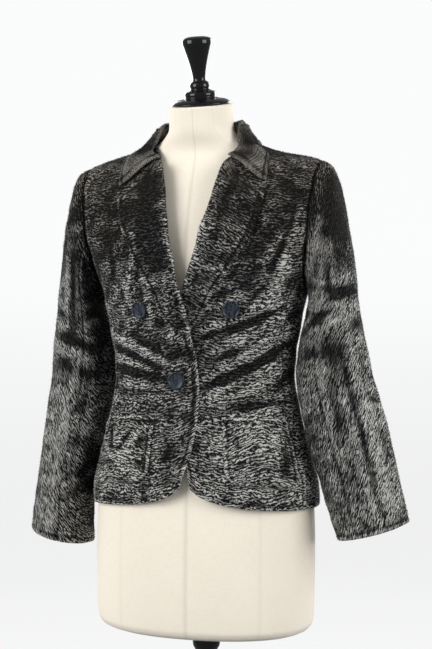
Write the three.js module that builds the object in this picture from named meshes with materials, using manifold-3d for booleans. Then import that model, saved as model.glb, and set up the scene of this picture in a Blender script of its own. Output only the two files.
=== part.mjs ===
// A short cropped-pile blazer on a limbless dress form, in millimetres, +Z up, front towards -Y.
// The origin is the middle of the foot's underside. Left and right are the wearer's: left is +X.
import Module from 'manifold-3d';
import * as THREE from 'three';
import { mergeVertices } from 'three/addons/utils/BufferGeometryUtils.js';

const DEGREE = Math.PI / 180;

// Cloth
const WALL = 2.8; // one layer of pile cloth
const DOUBLE_WALL = 4; // collar and lapels, cloth on cloth
const SEAM_SHARE = 0.2; // each piece's share of the gap at a seam
const LAY = 0.7; // gap between a piece and the one that it lies on
const NEAR = 0.004; // a small step across a piece, for its slope

// Outside of the jacket's body: level sections from the hem to the neck.
// half = half width, front and back = depths from the middle, power = roundness of the section.
const SECTIONS = [
  { z: 830, half: 190, front: 122, back: 128, middle: 0, power: 2.15 },
  { z: 870, half: 188, front: 120, back: 127, middle: 0, power: 2.15 },
  { z: 920, half: 177, front: 113, back: 118, middle: 0, power: 2.15 },
  { z: 970, half: 163, front: 106, back: 105, middle: 0, power: 2.15 },
  { z: 1010, half: 154, front: 101, back: 95, middle: 0, power: 2.15 },
  { z: 1045, half: 150, front: 100, back: 90, middle: 0, power: 2.15 },
  { z: 1085, half: 152, front: 106, back: 91, middle: 0, power: 2.15 },
  { z: 1130, half: 159, front: 120, back: 97, middle: 0, power: 2.15 },
  { z: 1165, half: 165, front: 129, back: 103, middle: 0, power: 2.15 },
  { z: 1191, half: 171, front: 131, back: 107, middle: 0, power: 2.15 },
  { z: 1240, half: 197, front: 126, back: 111, middle: 0, power: 2.15 },
  { z: 1290, half: 226, front: 115, back: 112, middle: 0, power: 2.15 },
  { z: 1345, half: 240, front: 97, back: 104, middle: 0, power: 2.1 },
  { z: 1380, half: 221, front: 82, back: 92, middle: 0, power: 2 },
  { z: 1397, half: 195, front: 71, back: 81, middle: 0, power: 1.9 },
  { z: 1408, half: 156, front: 63, back: 74, middle: -3, power: 1.85 },
  { z: 1417, half: 118, front: 57, back: 69, middle: -7, power: 1.85 },
  { z: 1428, half: 88, front: 53, back: 66, middle: -12, power: 1.85 },
  { z: 1440, half: 70, front: 50, back: 65, middle: -17, power: 1.9 },
  { z: 1450, half: 63, front: 48, back: 63, middle: -18, power: 2 },
  { z: 1480, half: 58, front: 45, back: 62, middle: -21, power: 2 },
];

// Front edges and roll lines: how far each front passes the centre, towards the other side.
const FRONT_EDGE = [
  { z: 880, left: -8, right: -8 },
  { z: 909, left: 0, right: 0 },
  { z: 940, left: 9, right: 9 },
  { z: 971, left: 14, right: 14 },
  { z: 1018, left: 18, right: 18 },
  { z: 1049, left: 17, right: 17 },
  { z: 1090, left: 14, right: 14 },
  { z: 1120, left: 10, right: 10 },
  { z: 1150, left: 5, right: 5 },
  { z: 1183, left: -3, right: -2 },
  { z: 1220, left: -14, right: -13 },
  { z: 1265, left: -25, right: -25 },
  { z: 1310, left: -36, right: -34 },
  { z: 1358, left: -48, right: -42 },
  { z: 1404, left: -61, right: -56 },
  { z: 1432, left: -76, right: -74 },
];

// Hem height by distance from the centre: cut away and rounded at the front.
const HEM = [
  { x: 0, z: 883 },
  { x: 9, z: 878 },
  { x: 22, z: 868 },
  { x: 48, z: 858 },
  { x: 81, z: 851 },
  { x: 117, z: 847 },
  { x: 165, z: 844 },
  { x: 190, z: 843 },
];
const HEM_SIDE = 843;
const HEM_BLEND = 960; // rows above this height are level

// Seams down the body, as angles round a section from the centre front.
const FRONT_SEAM = [
  { z: 843, angle: 67 },
  { z: 1045, angle: 68 },
  { z: 1165, angle: 65 },
  { z: 1213, angle: 72 },
];
const BACK_SEAM_ANGLE = 117;

// Armhole: an upright oval on the body's outside.
const ARMHOLE = { top: 1397, bottom: 1191, front: 71, back: 74 };
const UNDERARM_TURN = 38; // degrees either side of the bottom that the side panel takes

// Row heights of the body panels.
const LEVELS = [
  843, 866, 890, 914, 938, 960, 985, 1012, 1040, 1068, 1098, 1128, 1150, 1170, 1191, 1213,
  1236, 1262, 1290, 1318, 1345, 1368, 1385, 1397, 1405, 1413, 1421, 1428,
];
const BACK_NECK = 1437;
const SIDE_COLUMNS = 6;
const SIDE_TOP_LEVEL = 1150; // the side panel's rows bend up to the armhole from here

// How far the lapping right front stands off the left one, and off the left lapel.
const LAP = {
  flat: 34, ends: 76, lift: WALL + 0.6, overLapel: 6.6, lapelFlat: 16, lapelEnds: 52,
  lapelFrom: 1079, top: 1235, fade: 40,
};

// Lapels: outer edge by height; above the point, the edge that is sewn to the collar.
const LAPEL_EDGE = [
  { z: 1122, x: 6 },
  { z: 1150, x: 31 },
  { z: 1188, x: 51 },
  { z: 1204, x: 62 },
  { z: 1235, x: 81 },
  { z: 1262, x: 96 },
  { z: 1289, x: 109 },
  { z: 1318, x: 117 },
  { z: 1334, x: 119 },
  { z: 1346, x: 103 },
  { z: 1357, x: 88 },
  { z: 1376, x: 73 },
  { z: 1397, x: 62 },
];
const LAPEL_LEVELS = [
  1122, 1136, 1150, 1169, 1188, 1210, 1235, 1262, 1289, 1306, 1322, 1334, 1346, 1357, 1368, 1382, 1394,
];
const ROLL = { lift: 5, reach: 30, from: 1130, full: 1260, top: 1404, fade: 30 };

// Collar fall: from its roll line to its edge, at steps from the centre back (0) to the front (1).
const COLLAR = [
  { step: 0, rollAngle: 180, rollZ: 1470, edgeAngle: 180, edgeZ: 1411, arch: 6 },
  { step: 0.22, rollAngle: 138, rollZ: 1469, edgeAngle: 141, edgeZ: 1414, arch: 8 },
  { step: 0.44, rollAngle: 98, rollZ: 1464, edgeAngle: 106, edgeZ: 1424, arch: 9 },
  { step: 0.58, rollAngle: 80, rollZ: 1455, edgeAngle: 84, edgeZ: 1425, arch: 8 },
  { step: 0.7, rollAngle: 66, rollZ: 1442, edgeAngle: 58, edgeZ: 1416, arch: 6 },
  { step: 0.8, rollAngle: 52, rollZ: 1430, edgeAngle: 43, edgeZ: 1403, arch: 5 },
  { step: 0.9, rollAngle: 34, rollZ: 1413, edgeAngle: 34.4, edgeZ: 1385, arch: 4 },
  { step: 1, rollAngle: 20, rollZ: 1402, edgeAngle: 30, edgeZ: 1357, arch: 3 },
];
const STAND_END = 0.76; // step at which the stand ends
const NECK_SEAM = { turn: 84, over: 6, gap: 0.7 }; // where the seam steps up to the back neck
const COLLAR_FOLD = 2.2; // how far the fold at the roll line stands out
const COLLAR_END_BOW = 0.22; // bow of the collar's front end above the gorge seam

// Patch pockets, by angle and height.
const POCKET = { from: 18.5, to: 64, top: 987, bottom: 880, corner: 26, tilt: 5, halfWidth: 58 };

// Sleeve rings, each between an inner and an outer point, with its reach to the front and back.
const CAP_RINGS = [
  { inX: 174.5, inZ: 1186, outX: 205, outZ: 1394, front: 73, back: 75 },
  { inX: 176, inZ: 1180, outX: 215, outZ: 1385, front: 74, back: 76 },
  { inX: 176.5, inZ: 1172, outX: 223, outZ: 1362, front: 74, back: 76 },
  { inX: 175, inZ: 1160, outX: 232, outZ: 1325, front: 72, back: 75 },
  { inX: 169.5, inZ: 1143, outX: 240, outZ: 1280, front: 69, back: 73 },
  { inX: 162.5, inZ: 1118, outX: 247, outZ: 1230, front: 66, back: 70 },
  { inX: 157.5, inZ: 1090, outX: 254, outZ: 1178, front: 63, back: 66 },
];
const SLEEVE = {
  right: [
    ...CAP_RINGS,
    { inX: 156, inZ: 1058, outX: 260, outZ: 1120, front: 62, back: 60 },
    { inX: 159, inZ: 1025, outX: 265, outZ: 1062, front: 64, back: 54 },
    { inX: 168, inZ: 985, outX: 271, outZ: 1005, front: 67, back: 47 },
    { inX: 179, inZ: 938, outX: 278, outZ: 950, front: 70, back: 40 },
    { inX: 190, inZ: 885, outX: 286, outZ: 898, front: 72, back: 34 },
    { inX: 195, inZ: 830, outX: 293, outZ: 848, front: 73, back: 30 },
    { inX: 196, inZ: 768, outX: 300, outZ: 796, front: 74, back: 28 },
  ],
  left: [
    ...CAP_RINGS,
    { inX: 154.5, inZ: 1056, outX: 264, outZ: 1110, front: 62, back: 58 },
    { inX: 156.5, inZ: 1022, outX: 277, outZ: 1053, front: 61, back: 50 },
    { inX: 164, inZ: 984, outX: 293, outZ: 1000, front: 60, back: 42 },
    { inX: 175.5, inZ: 940, outX: 306, outZ: 948, front: 61, back: 34 },
    { inX: 191, inZ: 888, outX: 318, outZ: 898, front: 62, back: 28 },
    { inX: 206, inZ: 836, outX: 327, outZ: 856, front: 63, back: 25 },
    { inX: 221, inZ: 792, outX: 334, outZ: 824, front: 64, back: 24 },
  ],
};
const SLEEVE_RADIUS = 55; // mean radius, which turns a fold's depth into a share
const CAP_BLEND = [0, 0.5, 0.85, 1]; // share of the plain ring in the first rings of the cap
const SLEEVE_SEAM_Z = 1262; // where a sleeve's two seams meet the armhole, a body row

// Buttons
const BUTTON = { radius: 14, rim: 2.2, height: 4.6, floor: 2.6, hole: 1.25, holeOffset: 3.1 };
const DISPLAY_BUTTON = { x: 73, z: 1157, off: 0.6 };
const WAIST_BUTTON = { x: -17, z: 1046, off: 2.3 };

const FOLD_FREE = 14; // folds die out this near a front edge

// Folds pressed in or out of the fronts: middle, run, spread and depth; negative depth is a trough.
const FRONT_FOLDS = [
  { side: 1, x: 142, z: 1240, lean: 23, run: 42, spread: 8, depth: -3 },
  { side: 1, x: 146, z: 1204, lean: 14, run: 42, spread: 9, depth: 3 },
  { side: 1, x: 100, z: 1136, lean: 62, run: 40, spread: 8, depth: -2.8 },
  { side: 1, x: 128, z: 1090, lean: 54, run: 28, spread: 8, depth: -2.6 },
  { side: 1, x: 82, z: 1061, lean: 65, run: 46, spread: 8, depth: -3 },
  { side: 1, x: 92, z: 1084, lean: 62, run: 46, spread: 9, depth: 2.2 },
  { side: -1, x: 90, z: 1058, lean: 80, run: 50, spread: 8, depth: -2.8 },
  { side: -1, x: 92, z: 1208, lean: -14, run: 42, spread: 9, depth: 2.6 },
  { side: -1, x: 66, z: 1090, lean: 66, run: 42, spread: 9, depth: 2 },
];

// Folds across the sleeves: middle by angle and ring, with spreads in degrees and rings.
const SLEEVE_FOLDS = [
  { side: 1, angle: 44, ring: 6.6, turn: 36, over: 0.3, depth: -3.4 },
  { side: 1, angle: 102, ring: 6.6, turn: 28, over: 0.32, depth: -3 },
  { side: 1, angle: 66, ring: 7.2, turn: 36, over: 0.3, depth: 2.4 },
  { side: 1, angle: 108, ring: 7.7, turn: 30, over: 0.32, depth: -2.6 },
  { side: -1, angle: 92, ring: 7.6, turn: 36, over: 0.34, depth: -3.2 },
  { side: -1, angle: 66, ring: 8.7, turn: 36, over: 0.32, depth: -3 },
  { side: -1, angle: 80, ring: 8.1, turn: 34, over: 0.3, depth: 2.4 },
  { side: 1, angle: -80, ring: 8.2, turn: 36, over: 0.34, depth: -3 },
  { side: -1, angle: -82, ring: 8, turn: 36, over: 0.34, depth: -3 },
];

// Dress form: level sections of its body, and its neck above them.
const FORM = [
  { z: 640, half: 160, front: 100, back: 104, middle: 0, power: 2.2 },
  { z: 645, half: 172, front: 110, back: 114, middle: 0, power: 2.2 },
  { z: 656, half: 179, front: 115, back: 119, middle: 0, power: 2.2 },
  { z: 690, half: 181, front: 116, back: 121, middle: 0, power: 2.2 },
  { z: 780, half: 182, front: 114, back: 121, middle: 0, power: 2.2 },
  { z: 850, half: 180, front: 110, back: 118, middle: 0, power: 2.2 },
  { z: 900, half: 172, front: 105, back: 111, middle: 0, power: 2.2 },
  { z: 960, half: 155, front: 97, back: 98, middle: 0, power: 2.2 },
  { z: 1010, half: 142, front: 91, back: 85, middle: 0, power: 2.2 },
  { z: 1045, half: 138, front: 90, back: 80, middle: 0, power: 2.2 },
  { z: 1085, half: 141, front: 96, back: 81, middle: 0, power: 2.2 },
  { z: 1130, half: 148, front: 109, back: 87, middle: 0, power: 2.2 },
  { z: 1170, half: 155, front: 119, back: 94, middle: 0, power: 2.2 },
  { z: 1210, half: 162, front: 118, back: 99, middle: 0, power: 2.2 },
  { z: 1260, half: 171, front: 110, back: 101, middle: 0, power: 2.2 },
  { z: 1310, half: 176, front: 97, back: 100, middle: 0, power: 2.2 },
  { z: 1350, half: 176, front: 82, back: 92, middle: 0, power: 2.1 },
  { z: 1375, half: 170, front: 71, back: 81, middle: 0, power: 2 },
  { z: 1390, half: 160, front: 64, back: 73, middle: 0, power: 1.9 },
  { z: 1401, half: 146, front: 58, back: 67, middle: -2, power: 1.85 },
  { z: 1413, half: 116, front: 52, back: 63, middle: -6, power: 1.85 },
  { z: 1424, half: 85, front: 50, back: 59, middle: -12, power: 1.9 },
  { z: 1438, half: 62, front: 52, back: 53, middle: -18, power: 2 },
  { z: 1452, half: 53, front: 53, back: 52, middle: -21, power: 2 },
  { z: 1474, half: 52, front: 53, back: 53, middle: -23, power: 2 },
  { z: 1491, half: 51.5, front: 53, back: 53, middle: -25, power: 2 },
];
const FORM_STEPS = 28;
const NECK_TILT = 14; // degrees that the neck's top leans to the front
const CAP = { radius: 47, y: -25, z: 1491.5 };
const POLE = { y: 8, top: 639.6, radius: 17 };
const FOOT = { radius: 200, height: 16, boss: 34 };

const CLOTH = { color: 0x4a4a50, roughness: 0.9, metalness: 0 };
const SHELL = { color: 0x8a94a0, roughness: 0.3, metalness: 0 };
const CANVAS = { color: 0xe4dccb, roughness: 0.85, metalness: 0 };
const LACQUER = { color: 0x141414, roughness: 0.18, metalness: 0 };

const wasm = await Module();
wasm.setup();

const blazer = new THREE.Group();

const mix = (from, to, share) => from + (to - from) * share;

const clamp = (value, low, high) => Math.min(Math.max(value, low), high);

function smooth(value) {
  const t = clamp(value, 0, 1);
  return t * t * (3 - 2 * t);
}

// A smooth curve through one column of a table that never overshoots its rows.
function curve(rows, key, name) {
  const x = rows.map((row) => row[key]);
  const y = rows.map((row) => row[name]);
  const last = x.length - 1;
  const rises = y.slice(1).map((value, i) => (value - y[i]) / (x[i + 1] - x[i]));
  const slopes = y.map((_, i) => {
    if (i === 0) return rises[0];
    if (i === last) return rises[last - 1];
    const product = rises[i - 1] * rises[i];
    return product <= 0 ? 0 : (2 * product) / (rises[i - 1] + rises[i]);
  });
  return (value) => {
    const at = clamp(value, x[0], x[last]);
    let i = 0;
    while (i < last - 1 && at > x[i + 1]) i += 1;
    const step = x[i + 1] - x[i];
    const t = (at - x[i]) / step;
    const rest = 1 - t;
    return (
      y[i] * rest * rest * (1 + 2 * t) +
      slopes[i] * step * t * rest * rest +
      y[i + 1] * t * t * (3 - 2 * t) -
      slopes[i + 1] * step * t * t * rest
    );
  };
}

function sectionCurves(rows) {
  const names = ['half', 'front', 'back', 'middle', 'power'];
  return Object.fromEntries(names.map((name) => [name, curve(rows, 'z', name)]));
}

// A point on a stack of sections: angle in degrees from the centre front, through +X, to the back.
function sectionPoint(body, angle, z) {
  const sine = Math.sin(angle * DEGREE);
  const cosine = Math.cos(angle * DEGREE);
  const round = 2 / body.power(z);
  const depth = cosine > 0 ? body.front(z) : body.back(z);
  const x = body.half(z) * Math.sign(sine) * Math.abs(sine) ** round;
  const y = body.middle(z) - depth * Math.sign(cosine) * Math.abs(cosine) ** round;
  return new THREE.Vector3(x, y, z);
}

const torso = sectionCurves(SECTIONS);
const form = sectionCurves(FORM);
const edgeCurves = { right: curve(FRONT_EDGE, 'z', 'right'), left: curve(FRONT_EDGE, 'z', 'left') };
const hemHeight = curve(HEM, 'x', 'z');
const frontSeam = curve(FRONT_SEAM, 'z', 'angle');
const lapelEdge = curve(LAPEL_EDGE, 'z', 'x');

function frontEdge(side, z) {
  return side > 0 ? edgeCurves.left(z) : edgeCurves.right(z);
}

// Angle of the torso section at a distance from the centre, on the front.
function angleAtX(x, z) {
  const share = clamp(Math.abs(x) / torso.half(z), 0, 1);
  return (Math.sign(x) * Math.asin(share ** (torso.power(z) / 2))) / DEGREE;
}

// Angle of the torso section where it reaches a depth.
function angleAtY(y, z) {
  const out = torso.middle(z) - y;
  const depth = out > 0 ? torso.front(z) : torso.back(z);
  const share = clamp(Math.abs(out) / depth, 0, 1) ** (torso.power(z) / 2);
  const angle = Math.acos(share) / DEGREE;
  return out > 0 ? angle : 180 - angle;
}

// Outward direction of the torso at an angle and height, from its slopes.
function torsoNormal(angle, z) {
  const reach = 0.5;
  const across = sectionPoint(torso, angle + reach, z).sub(sectionPoint(torso, angle - reach, z));
  const up = sectionPoint(torso, angle, z + reach).sub(sectionPoint(torso, angle, z - reach));
  return across.cross(up).normalize();
}

// A point that stands off the torso by a height.
function liftedPoint(angle, z, height) {
  return sectionPoint(torso, angle, z).addScaledVector(torsoNormal(angle, z), height);
}

// Armhole oval: turn 0 at the shoulder, 90 at the front, 180 at the underarm.
function armholePoint(turn) {
  const middle = (ARMHOLE.top + ARMHOLE.bottom) / 2;
  const half = (ARMHOLE.top - ARMHOLE.bottom) / 2;
  const z = middle + half * Math.cos(turn * DEGREE);
  const sine = Math.sin(turn * DEGREE);
  const y = torso.middle(z) - sine * (sine > 0 ? ARMHOLE.front : ARMHOLE.back);
  return sectionPoint(torso, angleAtY(y, z), z);
}

function armholeAngle(z, isBack) {
  const middle = (ARMHOLE.top + ARMHOLE.bottom) / 2;
  const half = (ARMHOLE.top - ARMHOLE.bottom) / 2;
  const turn = Math.acos(clamp((z - middle) / half, -1, 1));
  const depth = isBack ? ARMHOLE.back : -ARMHOLE.front;
  return angleAtY(torso.middle(z) + depth * Math.sin(turn), z);
}

// Height by which a table of folds raises or sinks the front at a place.
function foldLift(side, x, z) {
  let total = 0;
  for (const fold of FRONT_FOLDS) {
    if (fold.side !== side) continue;
    const lean = fold.lean * DEGREE;
    const right = x - fold.x;
    const up = z - fold.z;
    const along = right * Math.sin(lean) + up * Math.cos(lean);
    const across = right * Math.cos(lean) - up * Math.sin(lean);
    total += fold.depth * Math.exp(-((along / fold.run) ** 2) - (across / fold.spread) ** 2);
  }
  return total;
}

// How far a front stands off the torso: the lap of the right front, the roll of the lapel, and folds.
function frontLift(side, x, z) {
  const fromEdge = x + frontEdge(side, z);
  const roll = ROLL.lift * smooth((z - ROLL.from) / (ROLL.full - ROLL.from));
  const rolled = roll * smooth(1 - fromEdge / ROLL.reach) * smooth((ROLL.top - z) / ROLL.fade);
  const below = smooth((LAP.top - z) / LAP.fade);
  const overLeft = smooth((LAP.ends - x) / (LAP.ends - LAP.flat)) * below;
  const lapelSide = smooth((LAP.lapelEnds - x) / (LAP.lapelEnds - LAP.lapelFlat));
  const overLapel = lapelSide * smooth((z - LAP.lapelFrom) / LAP.fade) * below;
  const lap = side < 0 ? LAP.lift * overLeft + LAP.overLapel * overLapel : 0;
  return rolled + lap + foldLift(side, x, z) * smooth(fromEdge / FOLD_FREE);
}

// A point on a front panel's outside, or raised from it, at an angle and height.
function frontPoint(side, angle, z, raised = 0) {
  const x = sectionPoint(torso, angle, z).x;
  const point = liftedPoint(angle, z, frontLift(side, x, z) + raised);
  point.x *= side;
  return point;
}

// Cloth as a closed wall: point(u, v, row) gives its outside, and the inside lies a wall's thickness in.
// firstNormal(u), where given, is the outward direction of the piece that the first row is sewn to.
function clothGeometry(point, across, along, wall, sense, firstNormal) {
  const width = across + 1;
  const outer = [];
  for (let j = 0; j <= along; j += 1) {
    for (let i = 0; i <= across; i += 1) outer.push(point(i / across, j / along, j));
  }
  const at = (i, j) => outer[j * width + i];
  const outward = outer.map((_, index) => {
    const i = index % width;
    const j = Math.floor(index / width);
    const u = i / across;
    const right = point(u + NEAR, j / along, j).sub(point(u - NEAR, j / along, j));
    const up = at(i, Math.min(j + 1, along)).clone().sub(at(i, Math.max(j - 1, 0)));
    const normal = right.cross(up).normalize().multiplyScalar(sense);
    return j === 0 && firstNormal ? matched(normal, firstNormal(u)) : normal;
  });
  drawIn(at, across, along, SEAM_SHARE);
  const inner = outer.map((place, index) => place.clone().addScaledVector(outward[index], -wall));
  return closedShell(outer, inner, across, along, sense);
}

// Turns a direction to its neighbour's where they nearly agree, and leaves it where they part.
function matched(own, neighbour) {
  return own.lerp(neighbour, smooth(own.dot(neighbour) * 1.6)).normalize();
}

// Moves the border rows of a grid in towards their neighbours, to leave the seam's gap.
function drawIn(at, across, along, pull) {
  const towards = (place, neighbour) => {
    const step = neighbour.clone().sub(place);
    place.addScaledVector(step.normalize(), pull);
  };
  for (let j = 0; j <= along; j += 1) {
    towards(at(0, j), at(1, j));
    towards(at(across, j), at(across - 1, j));
  }
  for (let i = 0; i <= across; i += 1) {
    towards(at(i, 0), at(i, 1));
    towards(at(i, along), at(i, along - 1));
  }
}

function closedShell(outer, inner, across, along, sense) {
  const width = across + 1;
  const count = outer.length;
  const out = (i, j) => j * width + i;
  const deep = (i, j) => out(i, j) + count;
  const index = [];
  const face = (a, b, c, d) => {
    const corners = sense > 0 ? [a, b, c, a, c, d] : [a, c, b, a, d, c];
    index.push(...corners);
  };
  for (let j = 0; j < along; j += 1) {
    for (let i = 0; i < across; i += 1) {
      face(out(i, j), out(i + 1, j), out(i + 1, j + 1), out(i, j + 1));
      face(deep(i, j), deep(i, j + 1), deep(i + 1, j + 1), deep(i + 1, j));
    }
    face(out(0, j), out(0, j + 1), deep(0, j + 1), deep(0, j));
    face(out(across, j + 1), out(across, j), deep(across, j), deep(across, j + 1));
  }
  for (let i = 0; i < across; i += 1) {
    face(out(i + 1, 0), out(i, 0), deep(i, 0), deep(i + 1, 0));
    face(out(i, along), out(i + 1, along), deep(i + 1, along), deep(i, along));
  }
  return indexedGeometry([...outer, ...inner], index);
}

function indexedGeometry(points, index) {
  const geometry = new THREE.BufferGeometry();
  const positions = points.flatMap((place) => [place.x, place.y, place.z]);
  geometry.setAttribute('position', new THREE.Float32BufferAttribute(positions, 3));
  geometry.setIndex(index);
  geometry.computeVertexNormals();
  return geometry;
}

function addPiece(name, geometry, finish) {
  const mesh = new THREE.Mesh(geometry, new THREE.MeshStandardMaterial(finish));
  mesh.name = name;
  blazer.add(mesh);
  return mesh;
}

// Height of a body row: it follows the hem at the bottom and is level higher up.
function rowHeight(level, hem) {
  if (level >= HEM_BLEND) return level;
  return mix(hem, HEM_BLEND, (level - HEM_SIDE) / (HEM_BLEND - HEM_SIDE));
}

// Angle of a front's outer border: the side seam, then the armhole, then the shoulder seam.
function frontBorder(z) {
  const seamTop = FRONT_SEAM.at(-1).z;
  if (z <= seamTop) return Math.min(frontSeam(z), armholeAngle(Math.max(z, ARMHOLE.bottom), false));
  return z < ARMHOLE.top ? armholeAngle(z, false) : 90;
}

function addFront(name, side) {
  const point = (u, v, j) => {
    const level = LEVELS[j];
    const guess = mix(angleAtX(-frontEdge(side, level), level), frontBorder(level), u);
    const hem = hemHeight(Math.abs(sectionPoint(torso, guess, level).x));
    const z = rowHeight(level, hem);
    const angle = mix(angleAtX(-frontEdge(side, z), z), frontBorder(z), u);
    return frontPoint(side, angle, z);
  };
  addPiece(name, clothGeometry(point, 9, LEVELS.length - 1, WALL, side), CLOTH);
}

function addSidePanel(name, side) {
  const seamTop = FRONT_SEAM.at(-1).z;
  const levels = LEVELS.filter((level) => level <= seamTop);
  const point = (u, v, j) => {
    const level = levels[j];
    const top = armholePoint(mix(180 - UNDERARM_TURN, 180 + UNDERARM_TURN, u));
    const share = clamp((level - SIDE_TOP_LEVEL) / (seamTop - SIDE_TOP_LEVEL), 0, 1);
    const z = level <= SIDE_TOP_LEVEL ? rowHeight(level, HEM_SIDE) : mix(level, top.z, share * curved(u));
    const fromFront = frontBorder(z);
    const fromBack = backBorder(z);
    const plain = mix(fromFront, fromBack, u);
    const angle = mix(plain, angleAtY(top.y, top.z), smooth(share) * curved(u));
    const lift = frontLift(side, sectionPoint(torso, angle, z).x, z) * smooth(1 - u * 2);
    return mirrored(liftedPoint(angle, z, lift), side);
  };
  addPiece(name, clothGeometry(point, SIDE_COLUMNS, levels.length - 1, WALL, side), CLOTH);
}

// 0 on a panel's two side seams and 1 between them.
function curved(u) {
  return smooth(Math.min(u, 1 - u) * 9);
}

function mirrored(place, side) {
  place.x *= side;
  return place;
}

// Angle of the back's outer border at a height.
function backBorder(z) {
  const seamTop = armholePoint(180 + UNDERARM_TURN).z;
  const cut = armholeAngle(clamp(z, ARMHOLE.bottom, ARMHOLE.top), true);
  if (z >= ARMHOLE.top) return 90;
  if (z >= seamTop) return cut;
  const share = smooth((z - SIDE_TOP_LEVEL) / (seamTop - SIDE_TOP_LEVEL));
  return mix(BACK_SEAM_ANGLE, armholeAngle(seamTop, true), share);
}

function addBack(name, side) {
  const levels = [...LEVELS, BACK_NECK];
  const point = (u, v, j) => {
    const z = rowHeight(levels[j], HEM_SIDE);
    const angle = mix(backBorder(z), 180, u);
    return mirrored(sectionPoint(torso, angle, z), side);
  };
  addPiece(name, clothGeometry(point, 6, levels.length - 1, WALL, side), CLOTH);
}

// A lapel lies on its front from the roll line to its edge, fullest near the roll.
function addLapel(name, side) {
  const point = (u, v, j) => {
    const z = LAPEL_LEVELS[j];
    const from = angleAtX(-frontEdge(side, z), z);
    const to = angleAtX(lapelEdge(z), z);
    return frontPoint(side, mix(from, to, u), z, LAY + DOUBLE_WALL + Math.sin(u * Math.PI));
  };
  const rows = LAPEL_LEVELS.length - 1;
  addPiece(name, clothGeometry(point, 7, rows, DOUBLE_WALL, side), CLOTH);
}

const collarRow = Object.fromEntries(
  Object.keys(COLLAR[0]).map((name) => [name, curve(COLLAR, 'step', name)]),
);

// The collar's fall, from the roll (u = 0) to its edge (u = 1), round the neck (v).
function collarPoint(u, v) {
  const step = Math.abs(v * 2 - 1);
  const side = v < 0.5 ? -1 : 1;
  const angle = mix(collarRow.rollAngle(step), collarRow.edgeAngle(step), u);
  const drop = u + COLLAR_END_BOW * Math.sin(u * Math.PI) * smooth((step - 0.85) / 0.15);
  const z = mix(collarRow.rollZ(step), collarRow.edgeZ(step), drop);
  const arch = collarRow.arch(step) * Math.sin(u * Math.PI);
  const onFront = angle < 90 ? frontLift(side, sectionPoint(torso, angle, z).x, z) : 0;
  const height = LAY + DOUBLE_WALL + arch + COLLAR_FOLD * smooth(1 - u * 2) + onFront;
  return mirrored(liftedPoint(angle, z, height), side);
}

function addCollar() {
  addPiece('collar_fall', clothGeometry(collarPoint, 6, 30, DOUBLE_WALL, -1), CLOTH);
  const stand = (u, v) => {
    const step = Math.abs(v * 2 - 1) * STAND_END;
    const side = v < 0.5 ? -1 : 1;
    const angle = collarRow.rollAngle(step);
    const atBack = smooth((angle - NECK_SEAM.turn) / NECK_SEAM.over);
    const neckSeam = mix(LEVELS.at(-1), BACK_NECK, atBack);
    const z = mix(neckSeam + NECK_SEAM.gap, collarRow.rollZ(step) - 1, u);
    return mirrored(sectionPoint(torso, angle, z), side);
  };
  addPiece('collar_stand', clothGeometry(stand, 2, 24, WALL, 1), CLOTH);
}

// A patch pocket: a square top and rounded lower corners, laid on its front.
function addPocket(name, side) {
  const point = (u, v) => {
    const height = (POCKET.top - POCKET.bottom) * v;
    const within = clamp(POCKET.corner - height, 0, POCKET.corner);
    const narrow = POCKET.corner - Math.sqrt(POCKET.corner ** 2 - within ** 2);
    const middle = (POCKET.from + POCKET.to) / 2;
    const halfTurn = (POCKET.to - POCKET.from) / 2;
    const reach = halfTurn * (1 - narrow / POCKET.halfWidth);
    const angle = middle + (u * 2 - 1) * reach;
    const z = POCKET.bottom + height + POCKET.tilt * (0.5 - u);
    return frontPoint(side, angle, z, LAY + WALL);
  };
  addPiece(name, clothGeometry(point, 8, 9, WALL, side), CLOTH);
}

function ringCurves(rings) {
  const rows = rings.map((row, ring) => ({ ...row, ring: ring + 1 }));
  return Object.fromEntries(Object.keys(rings[0]).map((name) => [name, curve(rows, 'ring', name)]));
}

const sleeveRings = { right: ringCurves(SLEEVE.right), left: ringCurves(SLEEVE.left) };

function sleeveFold(side, turn, ring) {
  let total = 0;
  for (const fold of SLEEVE_FOLDS) {
    if (fold.side !== side) continue;
    const away = (turn - fold.angle) / fold.turn;
    total += fold.depth * Math.exp(-(away ** 2) - ((ring - fold.ring) / fold.over) ** 2);
  }
  return total;
}

// A point of a sleeve's outside: turn 0 outside, 90 front, 180 inside; ring 0 is the armhole.
function sleevePoint(side, turn, ring) {
  const row = Math.max(ring, 1);
  const sleeveRing = side > 0 ? sleeveRings.left : sleeveRings.right;
  const sine = Math.sin(turn * DEGREE);
  const cosine = Math.cos(turn * DEGREE);
  const depth = sine > 0 ? sleeveRing.front(row) : sleeveRing.back(row);
  const share = 0.5 + cosine / 2;
  const swell = 1 + sleeveFold(side, turn, ring) / SLEEVE_RADIUS;
  const place = new THREE.Vector3(
    mix(sleeveRing.inX(row), sleeveRing.outX(row), 0.5 + (share - 0.5) * swell),
    -sine * depth * swell,
    mix(sleeveRing.inZ(row), sleeveRing.outZ(row), share),
  );
  const whole = Math.min(Math.floor(ring), CAP_BLEND.length - 1);
  const next = Math.min(whole + 1, CAP_BLEND.length - 1);
  const plain = mix(CAP_BLEND[whole], CAP_BLEND[next], clamp(ring - whole, 0, 1));
  place.lerpVectors(armholePoint(turn), place, plain);
  return mirrored(place, side);
}

// Outward direction of the body's cloth at a place on the armhole.
function armholeNormal(side, turn) {
  const place = armholePoint(turn);
  return mirrored(torsoNormal(angleAtY(place.y, place.z), place.z), side);
}

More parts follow.
